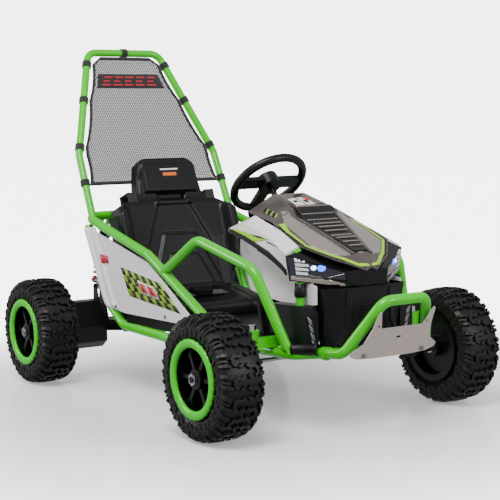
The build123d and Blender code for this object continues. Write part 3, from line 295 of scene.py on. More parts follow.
def sheet_of(rows):
    """A bmesh grid whose points take the places in rows, a list of equally long lists of vectors."""
    bm = bmesh.new()
    across = len(rows[0])
    bmesh.ops.create_grid(bm, x_segments=across - 1, y_segments=len(rows) - 1, size=0.5)
    for i, vert in enumerate(bm.verts):
        vert.co = rows[i // across][i % across]
    return bm


def block(bm, low, high, turn=None):
    """Adds a box between two corners, turned by a matrix if one is given."""
    middle, size = (low + high) / 2, high - low
    place = Matrix.Translation(middle) @ Matrix.Diagonal((*size, 1.0))
    return bmesh.ops.create_cube(bm, size=1.0, matrix=(turn or Matrix.Identity(4)) @ place)["verts"]


def turned_profile(bm, profile, centre, steps):
    """Spins (out, radius) points in millimetres about the axle line through centre."""
    verts = [bm.verts.new(centre + Vector((0, out * MM, radius * MM))) for out, radius in profile]
    edges = [bm.edges.new(pair) for pair in zip(verts, verts[1:])]
    bmesh.ops.spin(bm, geom=verts + edges, cent=centre, axis=(0, 1, 0), angle=math.tau, steps=steps,
                   use_merge=True, use_duplicate=False)
    bmesh.ops.remove_doubles(bm, verts=bm.verts, dist=0.01 * MM)


def outwards(bm):
    bmesh.ops.recalc_face_normals(bm, faces=bm.faces)
    return bm


print("helpers ready")

# %% [markdown]
# ## Frame and running gear
# The welded tube frame, the forged knuckles and the links are right as CAD made them, so they only get
# a finish. A dictionary pairs each finish with the nodes that wear it.

# %% Finishes for the CAD nodes that stay
worn = {
    lime_coat: ["side_tubes", "lower_rails", "hip_hoops", "roof_hoop", "rear_crossbar", "cross_tubes",
                "front_beam", "front_bumper", "hood_posts"],
    black_coat: ["knuckle_right", "knuckle_left", "pitman_shaft", "column_shaft", "column_support",
                 "swing_arm", "gear_cases", "shock_bodies", "accelerator_pedal"],
    chrome: ["knuckle_bolts_right", "knuckle_bolts_left", "shock_rods"],
    zinc: ["tie_rod_right", "tie_rod_left", "rear_axle", "fasteners"],
    plate_coat: ["skid_plate"],
    cover_pp: ["floor_pan", "foot_boxes", "dash_panel", "direction_switch", "fascia", "belt_buckle",
               "vent_louvre"],
    battery_abs: ["battery"],
    gloss_black: ["motor_controller", "lamp_shells"],
    red_abs: ["start_button"],
    seat_pp: ["seat_base", "seat_back", "steering_wheel"],
    webbing: ["harness", "net_straps"],
    white_abs: ["fairings", "side_panels"],
    grey_abs: ["hood"],
}
worn[rim_abs] = ["rim_" + corner for corner in ("front_right", "front_left", "rear_right", "rear_left")]
for material, names in worn.items():
    for name in names:
        nodes[name].data.materials.clear()
        nodes[name].data.materials.append(material)
print(sum(len(names) for names in worn.values()), "CAD nodes finished")

# %% [markdown]
# ## Tyres
# A knobbly tyre is one casting: a round-shouldered carcass with lugs that stand 8 mm proud. The carcass
# is a profile spun about the axle. A lug is a small box bent along a path over the carcass, narrower at
# its top than at its foot, and the tread is the same few lugs repeated round the tyre, with the two
# halves half a pitch apart so that they interlock.

# %% Tyre: carcass and lugs
TYRE_R, TYRE_HALF, PITCHES = 150.0, 59.0, 18
LUG_H = 8.0
carcass = [(-38, 90.6), (-49, 91), (-50, 97), (-56, 106), (-56.5, 118), (-54, 130), (-45, 138), (-30, 141),
           (-15, 142), (0, 142.3), (15, 142), (30, 141), (45, 138), (54, 130), (56.5, 118), (56, 106),
           (50, 97), (49, 91), (38, 90.6)]
# Each lug is a path of (degrees round, millimetres across) and a width in millimetres.
lug_paths = [
    ([(0, 3), (3, 12), (2, 24), (6, 33)], 11),
    ([(6, 33), (9.5, 30), (11, 22)], 8),
    ([(9, 6), (12, 10), (11, 17)], 9),
    ([(1, 38), (0, 46), (-1, 53), (-2, 57.5)], 12),
    ([(11, 36), (10, 45), (9, 53), (8, 57.5)], 10),
    ([(6, 44), (5, 51), (4, 56.5)], 6),
]
side_knobs = [((3, 103), (1, 116), 8), ((12, 106), (11, 120), 7), ((8, 102), (7.5, 111), 5)]


def carcass_radius(out):
    """The carcass radius under a point of the tread."""
    tread = [p for p in carcass if p[1] > 117 and p[0] >= 0]
    for (o0, r0), (o1, r1) in zip(tread, tread[1:]):
        if out <= o1:
            return r0 + (r1 - r0) * (out - o0) / (o1 - o0)
    return tread[-1][1]


def on_wheel(degrees, out, radius):
    angle = math.radians(degrees)
    return Vector((radius * math.sin(angle), out, radius * math.cos(angle))) * MM


def lug(bm, path, width, start, mirrored):
    """One lug along path, foot in the carcass and top just inside the tyre's outline."""
    rows = []
    for i, (degrees, out) in enumerate(path):
        ahead = path[min(i + 1, len(path) - 1)]
        behind = path[max(i - 1, 0)]
        run = Vector(((ahead[0] - behind[0]) * math.radians(1) * 142, ahead[1] - behind[1]))
        side = Vector((-run.y, run.x)).normalized() * (width / 2)
        foot, row = carcass_radius(out) - 1.5, []
        top = min(foot + 1.5 + LUG_H, TYRE_R - 0.1 * max(0, out - 30))
        for share, radius in ((-1, foot), (-0.78, top), (0.78, top), (1, foot)):
            turn = degrees + math.degrees(side.x * share / 142)
            row.append((start + turn, min(out + side.y * share, TYRE_HALF - 0.2), radius))
        rows.append(row)
    for row in rows:
        for k, (turn, out, radius) in enumerate(row):
            row[k] = on_wheel(turn, -out if mirrored else out, radius)
    part = sheet_of(rows)
    rims = [e for e in part.edges if e.is_boundary]
    bmesh.ops.holes_fill(part, edges=rims)
    bmesh.ops.triangulate(part, faces=[f for f in part.faces if len(f.verts) > 4])
    outwards(part)
    copy = bpy.data.meshes.new("lug")
    part.to_mesh(copy)
    part.free()
    bm.from_mesh(copy)
    bpy.data.meshes.remove(copy)


tyre_bm = bmesh.new()
turned_profile(tyre_bm, carcass, Vector((0, 0, 0)), 72)
for pitch in range(PITCHES):
    for half in (False, True):
        start = (pitch + 0.5 * half) * 360 / PITCHES
        for path, width in lug_paths:
            lug(tyre_bm, path, width, start, half)
        for (d0, r0), (d1, r1), width in side_knobs:
            sign = -1 if half else 1
            low, high = on_wheel(start + d0, 55 * sign, r0), on_wheel(start + d1, 55 * sign, r1)
            middle, along = (low + high) / 2, (high - low)
            turn = Matrix.Translation(middle) @ along.to_track_quat("Z", "Y").to_matrix().to_4x4()
            size = Vector((width * MM, 7.6 * MM, along.length))
            bmesh.ops.create_cube(tyre_bm, size=1.0, matrix=turn @ Matrix.Diagonal((*size, 1.0)))
tyre_mesh = bpy.data.meshes.new("tyre_pattern")
tyre_bm.to_mesh(tyre_mesh)
tyre_bm.free()
print("tyre pattern", len(tyre_mesh.polygons), "faces")

# %% [markdown]
# The four wheels share that pattern. A mirrored copy goes on the left so that the tread runs the same
# way on both sides, and its faces are turned round again afterwards. The lime ring outside each rim is a
# rounded moulding with small notches round its rim; its inner lip slopes down to the spokes.

# %% Four wheels
ring_profile = [(44, 84.5), (50.5, 73.5), (53.5, 72.5), (56.5, 74.0), (59.4, 78.5), (59.8, 84.0),
                (59.2, 90.5), (57.2, 94.3), (53.6, 94.6), (50.8, 90.5), (44, 84.5)]
NOTCHES = 32
for corner in ("front_right", "front_left", "rear_right", "rear_left"):
    side = -1 if corner.endswith("right") else 1
    low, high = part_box("tyre_" + corner)
    centre = (low + high) / 2
    body = "wheel_" + corner
    bm = bmesh.new()
    bm.from_mesh(tyre_mesh)
    bmesh.ops.transform(bm, matrix=Matrix.Translation(centre) @ Matrix.Diagonal((1, side, 1, 1)),
                        verts=bm.verts)
    if side < 0:
        bmesh.ops.reverse_faces(bm, faces=bm.faces)
    tyre = piece("knobbly_tyre_" + corner, bm, rubber, body, bevel=1.1)
    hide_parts("tyre_" + corner)

    bm = bmesh.new()
    turned_profile(bm, [(out * side, radius) for out, radius in ring_profile], centre, 96)
    for i in range(NOTCHES):
        angle = math.tau * i / NOTCHES
        rim_point = centre + Vector((94.2 * math.sin(angle), 0, 94.2 * math.cos(angle))) * MM
        for vert in bm.verts:
            if abs(vert.co.x - rim_point.x) < 3 * MM and abs(vert.co.z - rim_point.z) < 3 * MM:
                vert.co += (centre - vert.co) * Vector((1, 0, 1)) * 0.02
    ring = piece("lime_ring_" + corner, outwards(bm), ring_abs, body)
    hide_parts("wheel_ring_" + corner)
print("four wheels dressed")

# %% [markdown]
# ## Springs
# A coil spring is wound steel wire under a red powder coat, and it shortens as the rear arm rises. The
# CAD coils have the right shape, so each side is a merged copy of them. The two eyes of the shock
# absorber give the direction along which the spring's length is measured.

# %% Coil springs
joint_places = {j["name"]: j["pos_m"] for j in frame["record"]["behaviour"]["joints"] if "pos_m" in j}
eye_top, eye_low = (Vector(joint_places[name]) for name in ("shock_upper_swing", "shock_lower_swing"))
spring_way = (eye_low - eye_top).normalized()
for side, s in (("left", 1), ("right", -1)):
    spring_bm = bmesh.new()
    spring_bm.from_mesh(nodes["shock_springs"].data)
    bmesh.ops.remove_doubles(spring_bm, verts=spring_bm.verts, dist=0.001 * MM)
    bmesh.ops.delete(spring_bm, geom=[v for v in spring_bm.verts if v.co.y * s < 0], context="VERTS")
    along = [(v.co - eye_top).dot(spring_way) for v in spring_bm.verts]
    long = max(along) - min(along)
    spring = piece("coil_spring_" + side, spring_bm, spring_coat, "shock_upper")
    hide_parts("shock_springs")
    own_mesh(spring)
print("spring", round(long / MM, 1), "mm long")

# %% [markdown]
# ## Screen on the hoop
# The net is one flat cut of cloth, pulled tight between nine straps, so its sides curve inwards a little
# from strap to strap and its middle bellies back by some millimetres. It is made as a grid whose rows
# follow the hoop's slope. The same function places the black hems and the badge that is sewn on it.

# %% Net, hems and badge
net_low, net_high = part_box("net_panel")
NET_FOOT, NET_HEAD = 562.0, 941.0
NET_HALF = [(562, 217), (649, 214), (918, 117), (941, 84)]
SCALLOP, BELLY = 7.0, 10.0
strap_heights = [570, 671, 808, 916]


def between(table, value):
    """Reads a value from a short list of (place, value) pairs by straight lines."""
    for (p0, v0), (p1, v1) in zip(table, table[1:]):
        if value <= p1:
            return v0 + (v1 - v0) * max(0.0, value - p0) / (p1 - p0)
    return table[-1][1]


def net_point(across, height, lift=0.0):
    """A point of the net: across runs from -1 to 1, height is above the ground in millimetres."""
    half = between(NET_HALF, height)
    for low, high in zip(strap_heights, strap_heights[1:]):
        if low < height < high:
            half -= SCALLOP * math.sin(math.pi * (height - low) / (high - low)) ** 0.7
    rise = (height - NET_FOOT) / (NET_HEAD - NET_FOOT)
    back = BELLY * (1 - across ** 2) * math.sin(math.pi * rise)
    x = net_high.x / MM - 1.0 - rise * ((net_high.x - net_low.x) / MM - 2.0) - back
    return Vector((x + lift * 0.9, across * half, height + lift * 0.42)) * MM


def heights(low, high, count):
    return [low + (high - low) * i / (count - 1) for i in range(count)]


net = piece("mesh_screen", sheet_of([[net_point(a, h) for a in heights(-1, 1, 33)]
                                     for h in heights(NET_FOOT, NET_HEAD, 61)]),
            net_finish, "chassis")
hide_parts("net_panel")

HEM, HEM_LIFT = 9.0, 1.3
hem_bm = bmesh.new()


def add_sheet(bm, rows):
    """Adds a grid of points to a bmesh that is being filled."""
    part = sheet_of(rows)
    mesh = bpy.data.meshes.new("part")
    part.to_mesh(mesh)
    part.free()
    bm.from_mesh(mesh)
    bpy.data.meshes.remove(mesh)


for s in (-1, 1):
    add_sheet(hem_bm, [[net_point(s * (1 - k * HEM / between(NET_HALF, h)), h, HEM_LIFT) for k in (0, 0.5, 1)]
                       for h in heights(NET_FOOT, NET_HEAD, 81)])
for low in (NET_FOOT, NET_HEAD - HEM):
    add_sheet(hem_bm, [[net_point(a, low + k * HEM, HEM_LIFT + 0.2) for a in heights(-1, 1, 33)]
                       for k in (0, 0.5, 1)])
hems = piece("screen_hems", outwards(hem_bm), webbing, "chassis", wall=2.6)

BADGE_LOW, BADGE_HIGH, BADGE_HALF = 846.0, 890.0, 0.86
badge = piece("screen_badge", sheet_of([[net_point(a, h, 1.6) for a in heights(-BADGE_HALF, BADGE_HALF, 25)]
                                        for h in heights(BADGE_LOW, BADGE_HIGH, 9)]),
              webbing, "chassis", wall=1.4)
bars_bm = bmesh.new()
BADGE_BARS = 5
for i in range(BADGE_BARS):
    left = BADGE_HALF * (-0.86 + 1.72 * i / BADGE_BARS)
    for k, (low, high) in enumerate(((8, 13), (19, 24), (31, 36))):
        slant = 0.03 * k
        wide = BADGE_HALF * (0.27 if k != 1 else 0.2)
        add_sheet(bars_bm, [[net_point(left + slant + a, BADGE_LOW + h, 2.4) for a in heights(0, wide, 5)]
                            for h in (low, high)])
badge_bars = piece("screen_badge_bars", outwards(bars_bm), red_ink, "chassis", wall=0.6)

# %% [markdown]
# ## Seat
# The backrest is one blow-moulded shell. Its front is a height map: bolsters stand forward at the sides,
# the headrest stands proud over a hand slot, and two nested steps cross the small of the back. Each
# feature is a smooth ramp a few millimetres wide, the way a mould is filleted. The outline comes from
# a table of half widths, and the last few columns of the grid turn back to give the shell its depth.

# %% Backrest
LEAN = math.radians(19.0)
BACK_X, BACK_Z, BACK_DEEP = -687.0, 256.0, 42.0
back_half = [(4, 150), (70, 176), (150, 197), (232, 197), (258, 184), (276, 152), (290, 119), (300, 109),
             (330, 105), (388, 91), (402, 76)]


def ramp(value, low, high):
    """0 below low, 1 above high, and a smooth step between."""
    t = min(1.0, max(0.0, (value - low) / (high - low)))
    return t * t * (3 - 2 * t)


def back_depth(y, s):
    """How far the seat's face stands forward at y across and s up the back, in millimetres."""
    y = abs(y)
    bolster = ramp(y, 150, 174) * ramp(s, 20, 60) * (1 - ramp(s, 236, 268))
    crease = 100 - 0.45 * (s - 150)
    flank = ramp(y, crease, crease + 6) * ramp(s, 120, 160) * (1 - ramp(s, 262, 284))
    headrest = ramp(s, 296, 302) * (1 - ramp(y, 82, 92))
    slot_half = 34 + (s - 276) * 0.6
    slot = ramp(s, 276, 281) * (1 - ramp(s, 295, 299)) * (1 - ramp(y, slot_half, slot_half + 4))
    yoke_half = 60 + (262 - s) * 0.2
    yoke = (1 - ramp(y, yoke_half, yoke_half + 5)) * ramp(s, 258, 264) * (1 - ramp(s, 272, 276))
    face = 30 * bolster + 5 * flank + 12 * headrest - 14 * slot + 6 * yoke
    for top, half in ((176, 48), (112, 40)):
        step_half = half + (top - s) * 0.42
        face += 8 * (1 - ramp(s, top - 5, top)) * (1 - ramp(y, step_half, step_half + 5))
        groove = (1 - ramp(s, top - 1, top + 3)) * ramp(s, top - 7, top - 3)
        face -= 5 * groove * (1 - ramp(y, half - 4, half + 2))
    return face - 8 * ramp(s, 380, 402) - 4 * (1 - ramp(s, 4, 24))


def back_point(y, s, depth):
    x = BACK_X - s * math.sin(LEAN) + depth * math.cos(LEAN)
    return at(x, y, BACK_Z + s * math.cos(LEAN) + depth * math.sin(LEAN))


ROUND = 12.0
back_rows = []
for s in heights(4, 402, 120):
    half = between(back_half, s)
    row = []
    for y in heights(-(half - ROUND), half - ROUND, 97):
        row.append(back_point(y, s, back_depth(y, s)))
    edge = back_depth(half - ROUND, s)
    for k in range(1, 6):
        turn = math.radians(18 * k)
        out, sink = half - ROUND + ROUND * math.sin(turn), ROUND * (1 - math.cos(turn))
        row.insert(0, back_point(-out, s, edge - sink))
        row.append(back_point(out, s, edge - sink))
    row.insert(0, back_point(-half, s, -BACK_DEEP))
    row.append(back_point(half, s, -BACK_DEEP))
    back_rows.append(row)
crown = [back_point(y, 402.6, -ROUND) for y in heights(-76, 76, len(back_rows[0]))]
back_rows.append(crown)
back_rows.append([back_point(y, 402, -BACK_DEEP) for y in heights(-76, 76, len(back_rows[0]))])
backrest = piece("backrest_shell", sheet_of(back_rows), seat_pp, "chassis", wall=3.5)
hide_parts("seat_back")
marks = ((white_ink, "panel_white", 362, 367, 30), (orange_ink, "ring_green", 344, 355, 23))
for k, (ink, slot, low, high, half) in enumerate(marks):
    mark_bm = sheet_of([[back_point(y, s, back_depth(y, s) + 1.0) for y in heights(-half, half, 9)]
                        for s in heights(low, high, 3)])
    piece(f"headrest_mark_{k}", outwards(mark_bm), ink, "chassis", wall=0.6)
print("backrest", len(backrest.data.polygons), "faces")

# %% [markdown]
# The seat's base is a second moulding with a dished middle, low bolsters and a rolled front lip. Its
# section runs from the backrest forward over the lip and down to the floor, and the same section is
# repeated across the kart with the dish and bolsters added.

# %% Seat base
base_section = [(-750, 237), (-687, 259.5), (-683, 262), (-650, 259), (-600, 250), (-566, 243), (-552, 240),
                (-544, 235), (-539.5, 228), (-538, 218), (-540, 206), (-541, 197)]
base_rows = []
for x, z in base_section:
    row = []
    for y in heights(-168, 168, 57):
        dish = -9 * (1 - ramp(abs(y), 40, 105)) * ramp(x, -690, -660) * (1 - ramp(x, -560, -548))
        rib = -3.0 * ramp(abs(y), 112, 116) * (1 - ramp(abs(y), 119, 123)) * ramp(x, -680, -670)
        side = -10 * ramp(abs(y), 158, 168) if z > 215 else 0
        row.append(at(x + (rib if z < 235 else 0), y, z + (dish + rib + side if z > 215 else 0)))
    base_rows.append(row)
for s in (-1, 1):
    for row in base_rows:
        outer = row[0] if s < 0 else row[-1]
        low = Vector((outer.x, outer.y, 196.5 * MM))
        row.insert(0, low) if s < 0 else row.append(low)
seat_cushion = piece("seat_base_shell", sheet_of(base_rows), seat_pp, "chassis",
                     wall=3.0, rounds=1)
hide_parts("seat_base")
print("seat base", len(seat_cushion.data.polygons), "faces")

# %% [markdown]
# ## Trim and graphics
# Printed trim is thin vinyl that follows whatever it is stuck to. A flat grid is cut to its outline, and
# each of its points is then dropped along one direction onto the CAD surface below, found by ray casting.
# The outline is given as seen along that direction, and it has to be convex, so a bent stripe is a chain
# of four-cornered pieces.

# %% Laying trim on a surface


def tree_of(*names):
    """A search tree over the surfaces of some CAD nodes."""
    points, faces = [], []
    for name in names:
        first = len(points)
        points += [v.co.copy() for v in nodes[name].data.vertices]
        faces += [[first + i for i in p.vertices] for p in nodes[name].data.polygons]
    return BVHTree.FromPolygons(points, faces)


def seen_from(way, u, v):
    """The start and direction of a ray for an outline point seen from the top, front, left or right."""
    if way == "top":
        return at(u, v, 900), Vector((0, 0, -1))
    if way == "front":
        return at(500, u, v), Vector((-1, 0, 0))
    side = 1 if way == "left" else -1
    return at(u, side * 400, v), Vector((0, -side, 0))


def cut_grid(outline, step):
    """A flat grid cut to a convex outline in millimetres."""
    us, vs = [p[0] for p in outline], [p[1] for p in outline]
    wide, tall = max(us) - min(us), max(vs) - min(vs)
    bm = bmesh.new()
    place = Matrix.Translation(((max(us) + min(us)) / 2, (max(vs) + min(vs)) / 2, 0))
    bmesh.ops.create_grid(bm, x_segments=max(1, round(wide / step)), y_segments=max(1, round(tall / step)),
                          size=0.5, matrix=place @ Matrix.Diagonal((wide, tall, 1, 1)))
    centre = Vector((sum(us) / len(us), sum(vs) / len(vs), 0))
    for (u0, v0), (u1, v1) in zip(outline, outline[1:] + outline[:1]):
        away = Vector((v1 - v0, u0 - u1, 0))
        if away.dot(Vector((u0, v0, 0)) - centre) < 0:
            away = -away
        bmesh.ops.bisect_plane(bm, geom=bm.verts[:] + bm.edges[:] + bm.faces[:], dist=1e-4,
                               plane_co=(u0, v0, 0), plane_no=away, clear_outer=True)
    return bm


def trim(name, way, outlines, on, material, lift=0.5, step=4.0, bevel=0.0, body="chassis"):
    """Vinyl or a thin moulding laid on a surface; lift is its thickness in millimetres."""
    whole = bmesh.new()
    tree = on if isinstance(on, BVHTree) else tree_of(*on)
    for outline in outlines:
        bm = cut_grid(outline, step)
        missed = []
        for vert in bm.verts:
            start, ray = seen_from(way, vert.co.x, vert.co.y)
            hit, normal, _, _ = tree.ray_cast(start, ray)
            if hit is None:
                missed.append(vert)
                continue
            vert.co = hit + (normal if normal.dot(ray) < 0 else -normal) * lift * MM
        bmesh.ops.delete(bm, geom=missed, context="VERTS")
        if bm.faces:
            bm.normal_update()
            if sum((f.normal * f.calc_area() for f in bm.faces), Vector()).dot(ray) > 0:
                bmesh.ops.reverse_faces(bm, faces=bm.faces)
            mesh = bpy.data.meshes.new("part")
            bm.to_mesh(mesh)
            whole.from_mesh(mesh)
            bpy.data.meshes.remove(mesh)
        bm.free()
    return piece(name, whole, material, body, wall=lift * 0.9, bevel=bevel)


def stripe(path, widths):
    """Four-cornered outlines along a path, each as wide as widths says at its ends."""
    ways = [(Vector(b) - Vector(a)).normalized() for a, b in zip(path, path[1:])]
    ways = [ways[0]] + [(a + b).normalized() for a, b in zip(ways, ways[1:])] + [ways[-1]]
    rims = []
    for point, way, width in zip(path, ways, widths):
        side = Vector((-way.y, way.x)) * width / 2
        rims.append((Vector(point) + side, Vector(point) - side))
    return [[tuple(a0), tuple(a1), tuple(b1), tuple(b0)] for (a0, a1), (b0, b1) in zip(rims, rims[1:])]


def both_sides(outlines):
    """Outlines given for the left, and the same mirrored to the right; seen from the top."""
    return outlines + [[(u, -v) for u, v in o] for o in outlines]


hood_tree = tree_of("hood")
print("trim helpers ready")

# %% [markdown]
# The hood is metallic dark grey, with a paler band down each flank, lime pinstripes that meet at the
# nose and raised ridges along the vent. Thin pale lines beside the ridges and pale strips on the vent's
# slats are painted highlights, and a black strip along the hood's outer edge is painted shade, the
# shadow gap next to the fairings and lamps. Behind it, a badge of plain blocks stands in for the printed
# number, and three gill slots have lime edges.

# %% Hood graphics
band = [(-112, 84), (-84, 72), (104, 34), (92, 66), (42, 108), (-66, 104)]
trim("hood_flank_bands", "top", both_sides([band]), hood_tree, pale_grey_abs, 0.3)
pin_path = [(-72, 110), (-34, 118), (39, 118), (92, 73), (127, 29), (136, 4)]
trim("hood_pinstripes", "top", both_sides(stripe(pin_path, [16, 9, 7, 7, 6, 6])), hood_tree, lime_ink,
     0.6)
# The black strip along the hood's outer edge is painted shade: the shadow gap next to the fairings and lamps.
shadow_gap_path = [(-66, 121), (-30, 127), (41, 128), (98, 80), (133, 33), (139, 8)]
trim("hood_painted_shadow_gaps", "top", both_sides(stripe(shadow_gap_path, [8, 13, 13, 9, 6, 4])), hood_tree, black_ink,
     0.5)
ridge_path = [(-84, 66), (-40, 55), (60, 33), (102, 27)]
trim("vent_ridges", "top", both_sides(stripe(ridge_path, [9, 7, 7, 8])), hood_tree, grey_abs,
     3.2, 3.0, 1.0)
# Thin pale lines just outside the ridges are painted highlights along their edges.
ridge_highlight_path = [(-84, 72), (-40, 61), (60, 39), (100, 33)]
trim("vent_ridge_highlights", "top", both_sides(stripe(ridge_highlight_path, [2, 2, 2, 2])), hood_tree, pale_grey_abs,
     1.0)
gill_starts = (-158, -139, -120)
gills = [[(x, 97), (x + 8, 95), (x + 17, 109), (x + 9, 111)] for x in gill_starts]
trim("hood_gills", "top", both_sides(gills), hood_tree, black_ink, 0.8)
gill_edges = [[(x + 8, 95), (x + 11, 94), (x + 20, 108), (x + 17, 109)] for x in gill_starts]
trim("hood_gill_edges", "top", both_sides(gill_edges), hood_tree, lime_ink, 0.9)
trim("dash_badge_base", "top", [[(-172, -46), (-172, 46), (-98, 52), (-98, -52)]], hood_tree, grey_abs,
     1.4, 4.0, 0.8)
trim("dash_badge_blocks", "top", [[(-150, -34), (-156, -8), (-106, -10), (-104, -40)],
                                  [(-158, -2), (-158, 24), (-110, 22), (-108, -4)]],
     hood_tree, white_ink, 2.0)
trim("dash_badge_reds", "top", [[(-104, -40), (-106, -10), (-98, -8), (-97, -42)],
                                [(-158, 14), (-158, 26), (-134, 26), (-134, 14)]],
     hood_tree, red_ink, 2.4)
trim("dash_badge_darks", "top", [[(-136, -30), (-138, -16), (-128, -17), (-126, -31)],
                                 [(-140, 2), (-140, 14), (-122, 13), (-122, 1)],
                                 [(-108, 26), (-110, 46), (-98, 48), (-98, 26)]],
     hood_tree, black_ink, 2.6)

VENT_BACK, VENT_FRONT, SLATS = -100.0, 98.0, 10
vent_tree = tree_of("hood", "vent_louvre")


def vent_half(x):
    """Half the vent's width, narrowing towards the nose."""
    return 60.0 - (x - VENT_BACK) * 0.197


def top_of(x):
    """The highest point of the hood and louvre across the vent, in millimetres above ground."""
    hits = [vent_tree.ray_cast(*seen_from("top", x, y))[0] for y in heights(-vent_half(x), vent_half(x), 9)]
    return max(hit.z for hit in hits if hit is not None) / MM


vent_tops = [(x, top_of(x)) for x in heights(VENT_BACK, VENT_FRONT, 34)]
smooth_tops = [(x, max(z for _, z in vent_tops[max(0, i - 2):i + 3]) + 0.5)
               for i, (x, _) in enumerate(vent_tops)]


def vent_point(x, y, lift):
    return at(x, y, between(smooth_tops, x) + lift)


bed_bm = sheet_of([[vent_point(x, vent_half(x) * a, 0) for a in heights(-1, 1, 5)]
                   for x in heights(VENT_BACK, VENT_FRONT, 18)])
bed_bm.normal_update()
if sum(f.normal.z for f in bed_bm.faces) < 0:
    bmesh.ops.reverse_faces(bed_bm, faces=bed_bm.faces)
piece("vent_dark_bed", bed_bm, black_ink, "chassis", wall=4.0, bevel=0.8)
# The pale strips on the black louvre's slats are painted highlights on the slats' lit edges.
slat_bm = bmesh.new()
for i in range(SLATS):
    x = VENT_BACK + 10 + 18.6 * i
    reach = vent_half(x) - 5
    bar = block(slat_bm, vent_point(x, -reach, 0.2), vent_point(x, reach, 0.2) + Vector((3.6, 0, 2.8)) * MM)
    bmesh.ops.rotate(slat_bm, verts=bar, cent=vent_point(x, 0, 1), matrix=Matrix.Rotation(0.3, 3, "Y"))
piece("vent_slat_highlights", slat_bm, pale_grey_abs, "chassis", bevel=0.6)
print("vent runs from", round(smooth_tops[0][1], 1), "to", round(smooth_tops[-1][1], 1), "mm above ground")
nose_bm = bmesh.new()
block(nose_bm, at(84, -9, 414), at(100, 9, 424))
piece("vent_end_block", nose_bm, pale_grey_abs, "chassis", bevel=2.0)
print("hood dressed")

# %% [markdown]
# The white fairings beside the hood have a thick black lip along their lower edge and a tapering lime
# flash with dark slivers. The side panels carry a slanted chequer, four rows by twelve, with plain
# blocks where a race number would be.

# %% Fairings and side panels


def sides(name, outlines, on, material, lift=0.5, step=4.0, bevel=0.0):
    """The same trim on the left and on the right, outlines seen from the side."""
    tree = tree_of(*on)
    for way in ("left", "right"):
        trim(f"{name}_{way}", way, outlines, tree, material, lift, step, bevel)


sides("fairing_flash", [[(-222, 472), (-99, 458), (-53, 452), (-117, 443), (-213, 465)]], ["fairings"],
      lime_ink, 0.5)
sides("fairing_slivers", [[(-140, 462), (-96, 459), (-52, 452), (-104, 455)],
                          [(-60, 449), (-2, 438), (-30, 441), (-62, 446)]],
      ["fairings"], black_ink, 0.8)
lip_path = [(-230, 466), (-160, 450), (-50, 420), (8, 394), (32, 380)]
sides("fairing_lips", stripe(lip_path, [8, 11, 12, 12, 11]), ["fairings"], cover_pp,
      3.5, 4.0, 1.2)

COLUMNS, ROWS = 12, 4
top_left, top_right = Vector((-659, 345)), Vector((-437, 317))
low_left, low_right = Vector((-612, 269)), Vector((-342, 248))


def chequer_point(i, j):
    """A corner of the chequer: i columns forward and j rows down."""
    top = top_left.lerp(top_right, i / COLUMNS)
    return tuple(top.lerp(low_left.lerp(low_right, i / COLUMNS), j / ROWS))


def chequer_block(i0, j0, i1, j1):
    return [chequer_point(i0, j0), chequer_point(i1, j0), chequer_point(i1, j1), chequer_point(i0, j1)]


sides("chequer_ground", [chequer_block(0, 0, COLUMNS, ROWS)], ["side_panels"], olive_ink,
      0.4, 20.0)
blacks = [chequer_block(i, j, i + 1, j + 1) for i in range(COLUMNS) for j in range(ROWS) if (i + j) % 2 == 0]
sides("chequer_squares", blacks, ["side_panels"], black_ink, 0.7, 30.0)
sides("number_ground", [chequer_block(4.1, 1.1, 6.1, 2.9), chequer_block(6.3, 1.1, 8.3, 2.9)],
      ["side_panels"], white_ink, 1.0, 30.0)
sides("number_blocks", [chequer_block(4.3, 1.35, 5.9, 2.65), chequer_block(6.5, 1.35, 8.1, 2.65)],
      ["side_panels"], red_ink, 1.3, 30.0)
rail_tree = tree_of("lower_rails")
PANEL_Y, SKIN_R = 241.8, 15.2
for way, s in (("left", 1), ("right", -1)):
    rows = []
    for z in heights(226, 446, 23):
        hits = [(x, rail_tree.ray_cast(*seen_from(way, x, z))[0]) for x in heights(-885, -650, 118)]
        hits = [(x, abs(hit.y) / MM) for x, hit in hits if hit is not None]
        rear_edge, front_edge = hits[0][0], hits[-1][0]
        middle_x, half = (rear_edge + front_edge) / 2, (front_edge - rear_edge) / 2 + 2.5
        axis_y = max(y for _, y in hits) - 12.7
        turns = [math.radians(a) for a in heights(-10, 150, 13)]
        row = [at(middle_x - half * math.cos(turn), s * (axis_y + SKIN_R * math.sin(turn)), z)
               for turn in turns]
        row += [at(front_edge + 10, s * (PANEL_Y + 1.5), z), at(front_edge + 18, s * PANEL_Y, z),
                at(front_edge + 40, s * PANEL_Y, z)]
        rows.append(row)
    skin_bm = sheet_of(rows)
    skin_bm.normal_update()
    if sum(f.normal.y * s for f in skin_bm.faces) < 0:
        bmesh.ops.reverse_faces(skin_bm, faces=skin_bm.faces)
    piece("panel_rear_strip_" + way, skin_bm, white_abs, "chassis", wall=1.8)
sides("panel_rear_marks", [[(-776, 372), (-758, 372), (-750, 348), (-767, 348)],
                           [(-752, 371), (-734, 370), (-728, 350), (-744, 350)]], ["side_panels"],
      red_ink, 3.4, 12.0)
print("panels dressed")

# %% [markdown]
# ## Lamps
# Each lamp is a dark blue glass over a black tub, with four bright bars at its outer end and two round
# LEDs that are lit. The glass is modelled as a glossy dark body, which is what clear plastic over a
# black tub looks like from outside. A pale grey chin closes the lamp from below.

# %% Lamp finishes and parts
lamp_glass = finish("blue_tinted_lens", "#030714", "#061026", 30, 2.0, 0.003, 0.06, 0.03,
                    **{"Coat Weight": 1.0, "Coat Roughness": 0.03})
nodes["lamp_lenses"].data.materials.clear()
nodes["lamp_lenses"].data.materials.append(lamp_glass)


